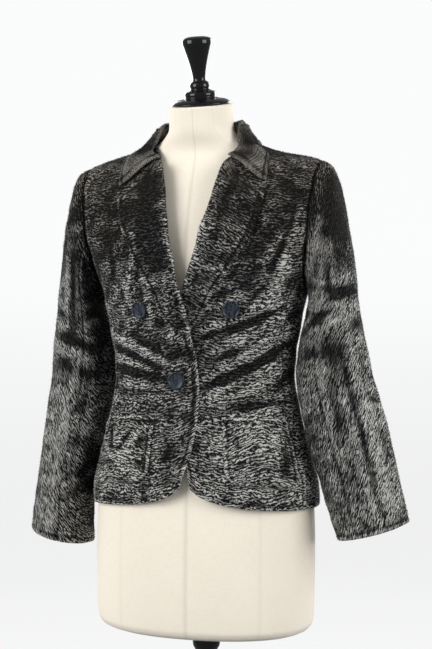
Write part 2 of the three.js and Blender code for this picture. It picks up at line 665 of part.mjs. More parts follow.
function addSleeve(label, side) {
  const rings = SLEEVE[label].length;
  const steps = Math.round(rings * 1.5);
  for (const [layer, turns] of Object.entries(sleeveTurns())) {
    const turnAt = spread(turns);
    const point = (u, v) => sleevePoint(side, turnAt(u), v * rings);
    const rim = (u) => armholeNormal(side, turnAt(u));
    const geometry = clothGeometry(point, turns.length - 1, steps, WALL, -side, rim);
    addPiece(`sleeve_${label}_${layer}`, geometry, CLOTH);
  }
}

// The turns at which a sleeve's columns stand, so that they meet the body's rows at the armhole.
function sleeveTurns() {
  const middle = (ARMHOLE.top + ARMHOLE.bottom) / 2;
  const half = (ARMHOLE.top - ARMHOLE.bottom) / 2;
  const turnAt = (z) => Math.acos(clamp((z - middle) / half, -1, 1)) / DEGREE;
  const seamTop = FRONT_SEAM.at(-1).z;
  const high = LEVELS.filter((z) => z >= SLEEVE_SEAM_Z && z <= ARMHOLE.top).map(turnAt);
  const low = LEVELS.filter((z) => z >= seamTop && z <= SLEEVE_SEAM_Z).map(turnAt);
  const sideStep = (2 * UNDERARM_TURN) / SIDE_COLUMNS;
  const below = Array.from({ length: SIDE_COLUMNS - 1 }, (_, i) => 180 - UNDERARM_TURN + (i + 1) * sideStep);
  const upper = [...high, ...high.slice(0, -1).reverse().map((turn) => -turn)];
  const under = [...low.map((turn) => 360 - turn).reverse(), ...below.reverse(), ...low];
  return { upper, under };
}

// Reads a list at a share of its length, straight between its values and on past its ends.
function spread(list) {
  const last = list.length - 1;
  return (share) => {
    const i = clamp(Math.floor(share * last), 0, last - 1);
    return mix(list[i], list[i + 1], share * last - i);
  };
}

function solidOf(geometry) {
  const plain = geometry.clone();
  plain.deleteAttribute('normal');
  plain.deleteAttribute('uv');
  const merged = mergeVertices(plain);
  return new wasm.Manifold(new wasm.Mesh({
    numProp: 3,
    vertProperties: new Float32Array(merged.attributes.position.array),
    triVerts: new Uint32Array(merged.index.array),
  }));
}

function geometryOf(solid) {
  const mesh = solid.getMesh();
  const geometry = new THREE.BufferGeometry();
  geometry.setAttribute('position', new THREE.BufferAttribute(mesh.vertProperties, 3));
  geometry.setIndex(new THREE.BufferAttribute(mesh.triVerts, 1));
  geometry.computeVertexNormals();
  return geometry;
}

// Turned pieces are drawn as radius and height pairs from the axis and back to it.
function turned(profile, steps) {
  const points = profile.map(([radius, height]) => new THREE.Vector2(radius, height));
  return new THREE.LatheGeometry(points, steps).rotateX(90 * DEGREE);
}

// A four-hole button with a raised rim, its back at height 0 and its face up +Z.
function buttonGeometry() {
  const inner = BUTTON.radius - BUTTON.rim;
  const profile = [
    [0, 0],
    [BUTTON.radius - 1.2, 0],
    [BUTTON.radius, 1.4],
    [BUTTON.radius - 0.2, BUTTON.height - 0.8],
    [BUTTON.radius - 1.2, BUTTON.height],
    [inner, BUTTON.height - 0.5],
    [inner - 1.4, BUTTON.floor],
    [0, BUTTON.floor],
  ];
  let body = solidOf(turned(profile, 18));
  for (const [right, up] of [[1, 1], [-1, 1], [-1, -1], [1, -1]]) {
    const hole = new THREE.CylinderGeometry(BUTTON.hole, BUTTON.hole, BUTTON.height * 3, 6);
    hole.rotateX(90 * DEGREE);
    hole.translate(right * BUTTON.holeOffset, up * BUTTON.holeOffset, 0);
    body = body.subtract(solidOf(hole));
  }
  return geometryOf(body);
}

// Sews a button on the front at a place, its face along the cloth's outward direction.
function addButton(name, geometry, x, { z, off }) {
  const side = Math.sign(x);
  const angle = angleAtX(Math.abs(x), z);
  const normal = mirrored(torsoNormal(angle, z), side);
  const mesh = addPiece(name, geometry, SHELL);
  mesh.position.copy(frontPoint(side, angle, z)).addScaledVector(normal, off);
  mesh.quaternion.setFromUnitVectors(new THREE.Vector3(0, 0, 1), normal);
}

// A closed loft: rings of points, with a middle point on the first and last ring.
function loft(rings) {
  const steps = rings[0].length;
  const points = rings.flat();
  const index = [];
  for (let j = 0; j < rings.length - 1; j += 1) {
    for (let i = 0; i < steps; i += 1) {
      const next = (i + 1) % steps;
      const [a, b] = [j * steps + i, j * steps + next];
      const [c, d] = [a + steps, b + steps];
      index.push(a, b, d, a, d, c);
    }
  }
  const ends = [rings[0], rings.at(-1)];
  ends.forEach((ring, end) => {
    const centre = ring.reduce((sum, place) => sum.add(place), new THREE.Vector3());
    points.push(centre.divideScalar(steps));
    const first = end * (rings.length - 1) * steps;
    for (let i = 0; i < steps; i += 1) {
      const [a, b] = [first + i, first + ((i + 1) % steps)];
      index.push(...(end ? [a, b, points.length - 1] : [b, a, points.length - 1]));
    }
  });
  return indexedGeometry(points, index);
}

function addDressForm() {
  const top = FORM.at(-1).z;
  const neckBase = 1452;
  const tallestRow = 30;
  const heights = [];
  for (let row = 0; row < FORM.length - 1; row += 1) {
    heights.push(FORM[row].z);
    if (FORM[row + 1].z - FORM[row].z > tallestRow) heights.push((FORM[row].z + FORM[row + 1].z) / 2);
  }
  heights.push(top);
  const rings = heights.map((z) => {
    const tilt = Math.tan(NECK_TILT * DEGREE) * smooth((z - neckBase) / (top - neckBase));
    return Array.from({ length: FORM_STEPS }, (_, i) => {
      const place = sectionPoint(form, (i * 360) / FORM_STEPS, z);
      place.z += (place.y - form.middle(z)) * tilt;
      return place;
    });
  });
  addPiece('form_body', loft(rings), CANVAS);
}

function addStand() {
  const capProfile = [
    [0, 0], [CAP.radius, 0], [CAP.radius + 1.5, 2], [CAP.radius, 5], [40, 8.5], [27, 11], [25.5, 13],
    [26, 17], [24.5, 21], [18, 23.5], [15.5, 26], [16.8, 30], [15.5, 35], [11.5, 38.5], [10.6, 42],
    [11.2, 48], [14, 62], [18.5, 78], [22.5, 91], [24.4, 98], [23.5, 104], [17, 107.5], [0, 109],
  ];
  const cap = addPiece('neck_cap', turned(capProfile, 20), LACQUER);
  cap.position.set(0, CAP.y, CAP.z);
  cap.rotation.x = NECK_TILT * DEGREE;
  const poleFoot = FOOT.height + 0.3;
  const poleProfile = [
    [0, POLE.top], [30, POLE.top], [30, POLE.top - 6], [24, POLE.top - 10], [21, POLE.top - 16],
    [22, POLE.top - 24], [22.5, POLE.top - 34], [19, POLE.top - 42], [POLE.radius, POLE.top - 52],
    [POLE.radius, poleFoot + 60], [20, poleFoot + 50], [22, poleFoot + 40], [FOOT.boss, poleFoot + 8],
    [FOOT.boss + 4, poleFoot], [0, poleFoot],
  ];
  const pole = addPiece('pole', turned(poleProfile.reverse(), 24), LACQUER);
  pole.position.y = POLE.y;
  const footProfile = [
    [0, 0], [FOOT.radius, 0], [FOOT.radius, 7], [FOOT.radius - 8, 12],
    [FOOT.radius - 30, FOOT.height], [0, FOOT.height],
  ];
  const foot = addPiece('foot', turned(footProfile, 40), LACQUER);
  foot.position.y = POLE.y;
}

addFront('front_right', -1);
addFront('front_left', 1);
addSidePanel('side_right', -1);
addSidePanel('side_left', 1);
addBack('back_right', -1);
addBack('back_left', 1);
addSleeve('right', -1);
addSleeve('left', 1);
addCollar();
addLapel('lapel_right', -1);
addLapel('lapel_left', 1);
addPocket('pocket_right', -1);
addPocket('pocket_left', 1);
const button = buttonGeometry();
addButton('button_bust_right', button, -DISPLAY_BUTTON.x, DISPLAY_BUTTON);
addButton('button_bust_left', button, DISPLAY_BUTTON.x, DISPLAY_BUTTON);
addButton('button_waist', button, WAIST_BUTTON.x, WAIST_BUTTON);
addDressForm();
addStand();

export default blazer;
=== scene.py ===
import bpy
import numpy as np
from mathutils import Euler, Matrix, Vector


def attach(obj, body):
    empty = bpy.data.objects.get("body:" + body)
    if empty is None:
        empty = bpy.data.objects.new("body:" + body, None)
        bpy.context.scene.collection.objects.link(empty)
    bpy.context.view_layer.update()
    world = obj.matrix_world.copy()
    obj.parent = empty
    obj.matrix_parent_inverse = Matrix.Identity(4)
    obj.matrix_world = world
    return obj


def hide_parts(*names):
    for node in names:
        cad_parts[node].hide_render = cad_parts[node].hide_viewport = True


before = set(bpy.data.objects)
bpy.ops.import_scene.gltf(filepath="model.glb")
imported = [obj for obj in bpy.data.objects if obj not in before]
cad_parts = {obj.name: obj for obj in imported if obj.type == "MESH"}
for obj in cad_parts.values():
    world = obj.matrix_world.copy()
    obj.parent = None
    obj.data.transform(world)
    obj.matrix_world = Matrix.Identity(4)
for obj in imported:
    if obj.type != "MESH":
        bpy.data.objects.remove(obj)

bl_info = {
    "name": "Pile blazer on a dress form",
    "version": (1, 0, 0),
    "blender": (4, 5, 0),
    "location": "3D View > Sidebar > Blazer",
    "description": "Dresses the packed blazer and its dress form: cloth, pile, buttons, canvas and lacquer",
    "category": "Object",
}

# Every shape is worked out in millimetres, front towards -Y, and goes into its mesh in metres.
# Left and right are the wearer's: side is 1 on the left (+X) and -1 on the right.
MM = 0.001
DEGREE = np.pi / 180
WALL = 2.8
DOUBLE_WALL = 4
LAY = 0.7

# Outside of the body's cloth, as level sections: height, half width, front, back, middle, power
SECTIONS = np.array([
    (830, 190, 122, 128, 0, 2.15), (870, 188, 120, 127, 0, 2.15), (920, 177, 113, 118, 0, 2.15),
    (970, 163, 106, 105, 0, 2.15), (1010, 154, 101, 95, 0, 2.15), (1045, 150, 100, 90, 0, 2.15),
    (1085, 152, 106, 91, 0, 2.15), (1130, 159, 120, 97, 0, 2.15), (1165, 165, 129, 103, 0, 2.15),
    (1191, 171, 131, 107, 0, 2.15), (1240, 197, 126, 111, 0, 2.15), (1290, 226, 115, 112, 0, 2.15),
    (1345, 240, 97, 104, 0, 2.1), (1380, 221, 82, 92, 0, 2), (1397, 195, 71, 81, 0, 1.9),
    (1408, 156, 63, 74, -3, 1.85), (1417, 118, 57, 69, -7, 1.85), (1428, 88, 53, 66, -12, 1.85),
    (1440, 70, 50, 65, -17, 1.9), (1450, 63, 48, 63, -18, 2), (1480, 58, 45, 62, -21, 2),
])

# How far each front passes the centre: height, left, right
FRONT_EDGE = np.array([
    (880, -8, -8), (909, 0, 0), (940, 9, 9), (971, 14, 14), (1018, 18, 18), (1049, 17, 17),
    (1090, 14, 14), (1120, 10, 10), (1150, 5, 5), (1183, -3, -2), (1220, -14, -13),
    (1265, -25, -25), (1310, -36, -34), (1358, -48, -42), (1404, -61, -56), (1432, -76, -74),
])

# Hem by distance from the centre: distance, height
HEM = np.array([
    (0, 883), (9, 878), (22, 868), (48, 858), (81, 851), (117, 847), (165, 844), (190, 843),
])
HEM_SIDE = 843
HEM_BLEND = 960
FRONT_SEAM = np.array([(843, 67), (1045, 68), (1165, 65), (1213, 72)])  # height, angle
SEAM_TOP = 1213
BACK_SEAM_ANGLE = 117
ARMHOLE = {"top": 1397, "bottom": 1191, "front": 71, "back": 74}
UNDERARM_TURN = 38
LEVELS = np.array([
    843, 866, 890, 914, 938, 960, 985, 1012, 1040, 1068, 1098, 1128, 1150, 1170, 1191, 1213,
    1236, 1262, 1290, 1318, 1345, 1368, 1385, 1397, 1405, 1413, 1421, 1428,
])
BACK_NECK = 1437
SIDE_TOP_LEVEL = 1150
LAP = {
    "flat": 34, "ends": 76, "lift": WALL + 0.6, "over_lapel": 6.6, "lapel_flat": 16,
    "lapel_ends": 52, "lapel_from": 1079, "top": 1235, "fade": 40,
}
ROLL = {"lift": 5, "reach": 30, "from": 1130, "full": 1260, "top": 1404, "fade": 30}

# Outer edge of the lapels: height, distance from the centre
LAPEL_EDGE = np.array([
    (1122, 6), (1150, 31), (1188, 51), (1204, 62), (1235, 81), (1262, 96), (1289, 109),
    (1318, 117), (1334, 119), (1346, 103), (1357, 88), (1376, 73), (1397, 62),
])

# Collar's fall: step, roll angle, roll height, edge angle, edge height, arch
COLLAR = np.array([
    (0, 180, 1470, 180, 1411, 6), (0.22, 138, 1469, 141, 1414, 8), (0.44, 98, 1464, 106, 1424, 9),
    (0.58, 80, 1455, 84, 1425, 8), (0.7, 66, 1442, 58, 1416, 6), (0.8, 52, 1430, 43, 1403, 5),
    (0.9, 34, 1413, 34.4, 1385, 4), (1, 20, 1402, 30, 1357, 3),
])
STAND_END = 0.76
NECK_SEAM = {"turn": 84, "over": 6, "gap": 0.7}
COLLAR_FOLD = 2.2
COLLAR_END_BOW = 0.22
POCKET = {
    "from": 18.5, "to": 64, "top": 987, "bottom": 880, "corner": 26, "tilt": 5, "half_width": 58,
}

# Sleeve rings: inner point (x, z), outer point (x, z), reach to the front and back
CAP_RINGS = [
    (174.5, 1186, 205, 1394, 73, 75), (176, 1180, 215, 1385, 74, 76),
    (176.5, 1172, 223, 1362, 74, 76), (175, 1160, 232, 1325, 72, 75),
    (169.5, 1143, 240, 1280, 69, 73), (162.5, 1118, 247, 1230, 66, 70), (157.5, 1090, 254, 1178, 63, 66),
]
SLEEVE = {
    -1: np.array(CAP_RINGS + [
        (156, 1058, 260, 1120, 62, 60), (159, 1025, 265, 1062, 64, 54),
        (168, 985, 271, 1005, 67, 47), (179, 938, 278, 950, 70, 40), (190, 885, 286, 898, 72, 34),
        (195, 830, 293, 848, 73, 30), (196, 768, 300, 796, 74, 28),
    ]),
    1: np.array(CAP_RINGS + [
        (154.5, 1056, 264, 1110, 62, 58), (156.5, 1022, 277, 1053, 61, 50),
        (164, 984, 293, 1000, 60, 42), (175.5, 940, 306, 948, 61, 34), (191, 888, 318, 898, 62, 28),
        (206, 836, 327, 856, 63, 25), (221, 792, 334, 824, 64, 24),
    ]),
}
SLEEVE_RADIUS = 55
SLEEVE_SEAM_TURN = 108.1
CAP_BLEND = np.array([(0, 0), (1, 0.5), (2, 0.85), (3, 1)])  # ring, share of the plain sleeve

# Folds of the fronts: side, x, height, lean, run, spread, depth; negative depth is a trough
FRONT_FOLDS = [
    (1, 142, 1240, 23, 42, 7, -3.4), (1, 146, 1204, 14, 42, 8, 3.2), (1, 100, 1136, 62, 40, 6, -3.6),
    (1, 128, 1090, 54, 28, 6, -3.4), (1, 82, 1061, 65, 46, 6, -3.8), (1, 92, 1084, 62, 46, 9, 2.4),
    (-1, 90, 1058, 80, 50, 6, -3.6), (-1, 92, 1208, -14, 42, 9, 2.6), (-1, 66, 1090, 66, 42, 9, 2),
    (1, 112, 1180, 42, 26, 5, -2), (1, 124, 1162, 70, 24, 5, 2), (1, 60, 1124, 72, 34, 5, -2),
    (1, 148, 1136, 26, 26, 5, -2.2), (1, 116, 1108, 58, 34, 5, 2), (1, 56, 1044, 76, 30, 5, -2),
    (1, 140, 1044, 24, 28, 6, -1.8), (1, 64, 1098, 68, 40, 5, 1.6), (1, 98, 1034, 62, 36, 7, 1.8),
    (1, 116, 1008, 82, 36, 7, -1.8), (1, 92, 1262, 30, 34, 6, -1.8), (1, 168, 1290, 14, 30, 6, 2.2),
    (1, 62, 1168, 66, 34, 7, 1.6), (1, 132, 936, -8, 40, 8, 1.6), (1, 84, 916, 66, 30, 7, -1.4),
    (-1, 104, 1172, 20, 40, 7, -2.6), (-1, 60, 1180, 6, 60, 9, 1.6), (-1, 128, 1232, 6, 60, 8, -2),
    (-1, 84, 1256, 2, 60, 9, 1.6), (-1, 100, 1086, 72, 34, 5, -2), (-1, 60, 1070, 74, 32, 4.5, -2.4),
    (-1, 116, 1106, 60, 30, 5, 2), (-1, 96, 1036, 84, 40, 6, 1.8), (-1, 60, 1028, 84, 30, 5, -1.4),
    (-1, 66, 1102, 60, 36, 5, -2), (-1, 150, 950, 20, 24, 5, 2.4), (-1, 121, 920, 88, 20, 5, 2.4),
    (-1, 92, 946, -38, 26, 5, 2.4), (-1, 134, 950, 16, 18, 4, -2.2), (-1, 119, 936, 88, 12, 4, -2.2),
    (-1, 104, 954, -34, 18, 4, -2.2), (-1, 124, 962, -6, 24, 5, 1.6), (-1, 74, 910, 78, 30, 6, -1.4),
]
FOLD_FREE = 14

# Folds of the backs, not in the photo: uneven pulls at the waist and soft drapes below the shoulders
BACK_FOLDS = [
    (-1, 62, 1082, 80, 40, 7, -2.4), (-1, 96, 1052, 68, 38, 6, -2.2), (-1, 70, 1064, 76, 40, 8, 1.8),
    (-1, 48, 1040, 86, 30, 6, -1.6), (1, 66, 1074, 76, 44, 7, -2.4), (1, 108, 1100, 58, 34, 6, -2.2),
    (1, 58, 1048, 84, 38, 6, -1.8), (1, 90, 1088, 68, 40, 8, 1.8), (1, 124, 1240, 12, 50, 8, -2.4),
    (1, 108, 1206, 16, 46, 9, 2), (-1, 128, 1228, 10, 50, 8, -2.2), (-1, 112, 1196, 14, 44, 9, 1.8),
    (1, 44, 1000, 70, 36, 7, 1.4), (-1, 90, 970, 30, 40, 8, 1.6), (1, 100, 950, 24, 44, 9, 1.6),
]

# Folds of the sleeves: side, turn, ring, spread in degrees, spread in rings, depth
SLEEVE_FOLDS = [
    (1, 44, 6.6, 36, 0.24, -3.8), (1, 102, 6.6, 28, 0.26, -3.4), (1, 66, 7.2, 36, 0.28, 2.6),
    (1, 108, 7.7, 30, 0.3, -2.8), (-1, 92, 7.6, 36, 0.3, -3.4), (-1, 66, 8.7, 36, 0.3, -3.2),
    (-1, 80, 8.1, 34, 0.3, 2.4), (1, -80, 8.2, 36, 0.34, -3), (-1, -82, 8, 36, 0.34, -3),
    (1, 92, 5.2, 8, 1.1, 2.4), (1, 74, 5.5, 8, 1, -2), (1, 28, 7.6, 30, 0.2, -2), (1, 30, 9.6, 34, 0.2, -1.6),
    (1, 62, 11, 7, 2.6, -2), (1, 44, 10.6, 9, 2.6, 1.8), (1, 100, 10, 8, 2, 1.8), (1, 130, 5.6, 20, 0.3, -2),
    (-1, 48, 7.2, 30, 0.22, -2), (-1, 40, 9.4, 34, 0.22, -1.8), (-1, 112, 8.6, 26, 0.24, -2),
    (-1, 88, 5.4, 8, 1.4, -2), (-1, 70, 6, 8, 1.4, 2), (-1, 118, 10.4, 9, 2.4, -2.2), (-1, 92, 11, 8, 2.2, 1.8),
    (1, -50, 7.2, 30, 0.22, -1.8), (-1, -50, 9.2, 30, 0.22, -1.8), (1, -96, 9.6, 30, 0.24, -2),
    (-1, -100, 6.8, 30, 0.24, -2), (1, -70, 10.6, 9, 2.2, 1.6), (-1, -66, 10.8, 9, 2.2, 1.6),
]

# Patches of painted sheen where the pile is crushed and silvery (above 0), and of dark standing pile (below 0); many
# are painted shade along creases and beside the lapels' outer edges, or painted highlights on fold ridges:
# x, height, spread in x, spread in height, lean, amount; the last two are for the front and for the back.
SHEEN_AND_SHADE_PATCHES = np.array([
    (141, 1206, 9, 44, -14, 0.95, 0.1), (114, 1240, 12, 52, -24, -0.35, -0.1), (112, 1300, 5, 42, -12, -0.7, 0), (78, 1214, 5, 58, -29, -0.75, 0), (198, 1268, 5, 38, -9, 1, 0.2),
    (178, 1205, 5, 50, -9, 0.9, 0.1), (168, 1148, 5, 44, -5, 0.55, 0), (150, 1320, 80, 76, 0, -0.6, -0.4),
    (100, 1137, 5, 44, -62, -0.7, 0), (128, 1090, 5, 30, -54, -0.7, 0), (82, 1061, 5, 50, -65, -0.8, 0),
    (92, 1088, 9, 46, -62, 0.35, 0.1), (80, 1034, 14, 54, -72, 0.4, 0.1), (96, 950, 56, 54, 0, 0.5, 0.1),
    (152, 930, 8, 40, 0, -0.6, -0.1), (96, 886, 70, 16, 0, 0.18, 0.1), (88, 1190, 26, 40, -30, -0.3, 0),
    (100, 1166, 30, 12, 20, 0.35, 0), (-44, 1310, 28, 90, 8, -0.55, -0.1), (-84, 1248, 36, 15, 0, -0.42, 0),
    (-128, 1290, 70, 96, 0, -0.6, -0.4), (-70, 1186, 70, 30, 0, 0.1, 0.1), (-90, 1058, 5, 54, 81, -0.8, 0),
    (-58, 1038, 34, 12, 0, -0.4, 0), (-66, 1100, 4, 38, 61, -0.5, 0), (-112, 950, 56, 60, 0, 0.44, 0.1),
    (-30, 930, 10, 52, 0, -0.3, 0), (-6, 1180, 18, 44, 0, -0.3, 0), (-10, 1130, 90, 60, 0, -0.12, 0), (-110, 1116, 34, 26, 20, 0.25, 0.1),
    (30, 1296, 40, 70, -18, 0.12, 0), (220, 1322, 26, 60, 8, -0.6, -0.3), (212, 1240, 8, 38, 6, 0.85, 0.1),
    (226, 1240, 6, 36, 8, -0.4, 0), (222, 1188, 50, 5, -4, -0.95, -0.2), (182, 1150, 18, 5, 0, -0.7, 0),
    (206, 1166, 26, 7, 0, 0.45, 0.1), (244, 1164, 26, 8, 0, 0.45, 0.2), (232, 930, 6, 120, 3, -0.45, -0.1), (262, 930, 60, 130, 10, 0.14, 0.1),
    (272, 1010, 16, 110, 12, 0.5, 0.2), (298, 880, 26, 50, 12, 0.5, 0.3), (190, 950, 10, 60, 8, -0.5, -0.3), (-236, 930, 40, 110, -6, 0.28, 0.1), (-190, 1200, 14, 60, 0, -0.3, 0),
    (222, 1060, 22, 60, 4, -0.15, 0), (-200, 1276, 30, 66, -6, -0.42, -0.2), (-246, 890, 22, 70, -6, 0.45, 0.3),
    (-190, 880, 10, 84, 0, -0.7, -0.3), (-172, 1090, 12, 100, 0, -0.6, -0.3), (-236, 1130, 8, 60, -4, 0.45, 0.2),
    (-214, 1062, 6, 56, 0, -0.35, 0), (-222, 1000, 14, 60, -4, 0.25, 0.1), (-216, 1200, 7, 44, -4, 0.4, 0.1),
    (-60, 1180, 40, 80, 10, 0, 0.25), (70, 1250, 40, 60, -12, 0, 0.25), (-90, 1050, 50, 14, 10, 0, -0.5),
    (80, 1062, 60, 12, -8, 0, -0.5), (0, 930, 60, 60, 0, 0, 0.2), (110, 1120, 30, 60, 20, 0, 0.2),
])

# Dress form: height, half width, front, back, middle, power
FORM = np.array([
    (640, 160, 100, 104, 0, 2.2), (645, 172, 110, 114, 0, 2.2), (656, 179, 115, 119, 0, 2.2),
    (690, 181, 116, 121, 0, 2.2), (780, 182, 114, 121, 0, 2.2), (850, 180, 110, 118, 0, 2.2),
    (900, 172, 105, 111, 0, 2.2), (960, 155, 97, 98, 0, 2.2), (1010, 142, 91, 85, 0, 2.2),
    (1045, 138, 90, 80, 0, 2.2), (1085, 141, 96, 81, 0, 2.2), (1130, 148, 109, 87, 0, 2.2),
    (1170, 155, 119, 94, 0, 2.2), (1210, 162, 118, 99, 0, 2.2), (1260, 171, 110, 101, 0, 2.2),
    (1310, 176, 97, 100, 0, 2.2), (1350, 176, 82, 92, 0, 2.1), (1375, 170, 71, 81, 0, 2),
    (1390, 160, 64, 73, 0, 1.9), (1401, 146, 58, 67, -2, 1.85), (1413, 116, 52, 63, -6, 1.85),
    (1424, 85, 50, 59, -12, 1.9), (1438, 62, 52, 53, -18, 2), (1452, 53, 53, 52, -21, 2),
    (1474, 52, 53, 53, -23, 2), (1491, 51.5, 53, 53, -25, 2),
])
NECK_BASE = 1452
NECK_TILT = 14
CAP_PLACE = (0, -25, 1491.5)
CAP_PROFILE = np.array([
    (0, 0), (46.6, 0), (48, 1), (48.5, 2.4), (47.6, 4), (40, 8.5), (31, 10.2), (27, 11.4),
    (25.5, 13), (26, 17), (24.5, 21), (18, 23.5), (15.5, 26), (16.8, 30), (15.5, 35), (11.5, 38.5),
    (10.6, 42), (11.2, 48), (14, 62), (18.5, 78), (22.5, 91), (24.3, 98), (24.2, 101.5),
    (22.5, 105), (17, 107.5), (9, 108.8), (0, 109),
])
POLE_TOP = 639.6
POLE_Y = 8
POLE_PROFILE = np.array([
    (0, 16.3), (37.6, 16.3), (38, 17), (34, 24), (24, 44), (22, 56), (21, 62), (20, 66),
    (17.4, 74), (17, 80), (17, 330), (17, 586), (17.6, 591), (19, 598), (22, 604), (22.6, 610),
    (22, 616), (21, 622), (21.4, 626), (24, 629.6), (29.4, 633), (30, 634), (30, 639), (29.4, 639.6),
    (0, 639.6),
])
FOOT_PROFILE = np.array([
    (0, 0), (199.4, 0), (200, 0.8), (200, 6.4), (198.6, 8.6), (192, 12), (182, 14.6), (170, 16),
    (90, 16), (0, 16),
])
BUTTON = {"radius": 14, "rim": 2.2, "height": 4.6, "floor": 2.6, "hole": 1.25, "hole_offset": 3.1}
BUTTON_PLACES = {  # x, height, distance off the cloth
    "button_bust_right": (-73, 1157, 0.6),
    "button_bust_left": (73, 1157, 0.6),
    "button_waist": (-17, 1046, 2.3),
}


def smooth(value):
    """0 below 0, 1 above 1, and an S-shaped step between: 3t^2 - 2t^3."""
    t = np.clip(value, 0, 1)
    return t * t * (3 - 2 * t)


def mix(start, end, share):
    """The straight blend of two values by a share."""
    return start + (end - start) * share


def unit(vectors):
    """Vectors of length 1."""
    return vectors / np.maximum(np.linalg.norm(vectors, axis=-1, keepdims=True), 1e-9)


def curve(x, y):
    """A curve through points that never overshoots: cubic pieces, with the harmonic mean of the rises as slopes."""
    x, y = np.asarray(x, float), np.asarray(y, float)
    rise = np.diff(y) / np.diff(x)
    product, total = rise[:-1] * rise[1:], rise[:-1] + rise[1:]
    inner = np.where(product > 0, 2 * product / np.where(total == 0, 1, total), 0)
    slope = np.concatenate([rise[:1], inner, rise[-1:]])

    def at(value):
        value = np.clip(value, x[0], x[-1])
        i = np.clip(np.searchsorted(x, value, side="right") - 1, 0, len(x) - 2)
        step = x[i + 1] - x[i]
        t = (value - x[i]) / step
        rest = 1 - t
        return (
            y[i] * rest**2 * (1 + 2 * t)
            + slope[i] * step * t * rest**2
            + y[i + 1] * t**2 * (3 - 2 * t)
            - slope[i + 1] * step * t**2 * rest
        )

    return at


def columns(table):
    """One curve for each column of a table after its first, which they run along."""
    return [curve(table[:, 0], table[:, i]) for i in range(1, table.shape[1])]


TORSO = columns(SECTIONS)
FORM_CURVES = columns(FORM)
LEFT_EDGE, RIGHT_EDGE = columns(FRONT_EDGE)
HEM_HEIGHT = columns(HEM)[0]
FRONT_SEAM_ANGLE = columns(FRONT_SEAM)[0]
LAPEL_REACH = columns(LAPEL_EDGE)[0]
COLLAR_CURVES = columns(COLLAR)
CAP_SHARE = columns(CAP_BLEND)[0]
SLEEVE_CURVES = {
    side: [curve(np.arange(1, len(rings) + 1), rings[:, i]) for i in range(6)]
    for side, rings in SLEEVE.items()
}


def section_point(body, angle, z):
    """A level section is a superellipse: |x / half|^power + |y / depth|^power = 1, angle 0 at the front."""
    half, front, back, middle, power = (column(z) for column in body)
    sine, cosine = np.sin(angle * DEGREE), np.cos(angle * DEGREE)
    depth = np.where(cosine > 0, front, back)
    x = half * np.sign(sine) * np.abs(sine) ** (2 / power)
    y = middle - depth * np.sign(cosine) * np.abs(cosine) ** (2 / power)
    return np.stack(np.broadcast_arrays(x, y, z), -1)


def angle_at_x(x, z):
    """The section's angle at a distance from the centre, on the front."""
    share = np.clip(np.abs(x) / TORSO[0](z), 0, 1)
    return np.sign(x) * np.arcsin(share ** (TORSO[4](z) / 2)) / DEGREE


def angle_at_y(y, z):
    """The section's angle where it reaches a depth."""
    out = TORSO[3](z) - y
    depth = np.where(out > 0, TORSO[1](z), TORSO[2](z))
    share = np.clip(np.abs(out) / depth, 0, 1) ** (TORSO[4](z) / 2)
    angle = np.arccos(share) / DEGREE
    return np.where(out > 0, angle, 180 - angle)


def torso_normal(angle, z):
    """The cross product of the torso's two slopes."""
    reach = 0.5
    across = section_point(TORSO, angle + reach, z) - section_point(TORSO, angle - reach, z)
    up = section_point(TORSO, angle, z + reach) - section_point(TORSO, angle, z - reach)
    return unit(np.cross(across, up))


def lifted_point(angle, z, height):
    """A point of the torso moved out along its normal."""
    return section_point(TORSO, angle, z) + torso_normal(angle, z) * np.asarray(height)[..., None]


def front_edge(side, z):
    """How far a front passes the centre."""
    return LEFT_EDGE(z) if side > 0 else RIGHT_EDGE(z)


def armhole_point(turn):
    """An upright ellipse laid on the torso: turn 0 at the shoulder, 90 at the front."""
    z = mix(ARMHOLE["bottom"], ARMHOLE["top"], 0.5 + 0.5 * np.cos(turn * DEGREE))
    sine = np.sin(turn * DEGREE)
    y = TORSO[3](z) - sine * np.where(sine > 0, ARMHOLE["front"], ARMHOLE["back"])
    return section_point(TORSO, angle_at_y(y, z), z)


def armhole_angle(z, depth):
    """The torso's angle where the armhole's front (negative depth) or back passes a height."""
    half = (ARMHOLE["top"] - ARMHOLE["bottom"]) / 2
    cosine = np.clip((z - ARMHOLE["bottom"]) / half - 1, -1, 1)
    return angle_at_y(TORSO[3](z) + depth * np.sqrt(1 - cosine**2), z)


def fold_lift(folds, side, x, z):
    """The sum of ridges and troughs, each a bell along its line and a narrower bell across it."""
    total = np.zeros(np.broadcast(x, z).shape)
    for at, middle, height, lean, run, spread, depth in folds:
        if at == side:
            sine, cosine = np.sin(lean * DEGREE), np.cos(lean * DEGREE)
            along = (x - middle) * sine + (z - height) * cosine
            across = (x - middle) * cosine - (z - height) * sine
            total = total + depth * np.exp(-((along / run) ** 2) - (across / spread) ** 2)
    return total


def front_lift(side, x, z):
    """How far a front stands off the torso: its lap over the other front, its lapel's roll, and folds."""
    from_edge = x + front_edge(side, z)
    roll = ROLL["lift"] * smooth((z - ROLL["from"]) / (ROLL["full"] - ROLL["from"]))
    rolled = roll * smooth(1 - from_edge / ROLL["reach"]) * smooth((ROLL["top"] - z) / ROLL["fade"])
    below = smooth((LAP["top"] - z) / LAP["fade"])
    over_left = smooth((LAP["ends"] - x) / (LAP["ends"] - LAP["flat"])) * below
    lapel_side = smooth((LAP["lapel_ends"] - x) / (LAP["lapel_ends"] - LAP["lapel_flat"]))
    over_lapel = lapel_side * smooth((z - LAP["lapel_from"]) / LAP["fade"]) * below
    lap = (LAP["lift"] * over_left + LAP["over_lapel"] * over_lapel) * (side < 0)
    return rolled + lap + fold_lift(FRONT_FOLDS, side, x, z) * smooth(from_edge / FOLD_FREE)


def mirrored(points, side):
    """The points on one side of the body."""
    return points * np.array([side, 1, 1])


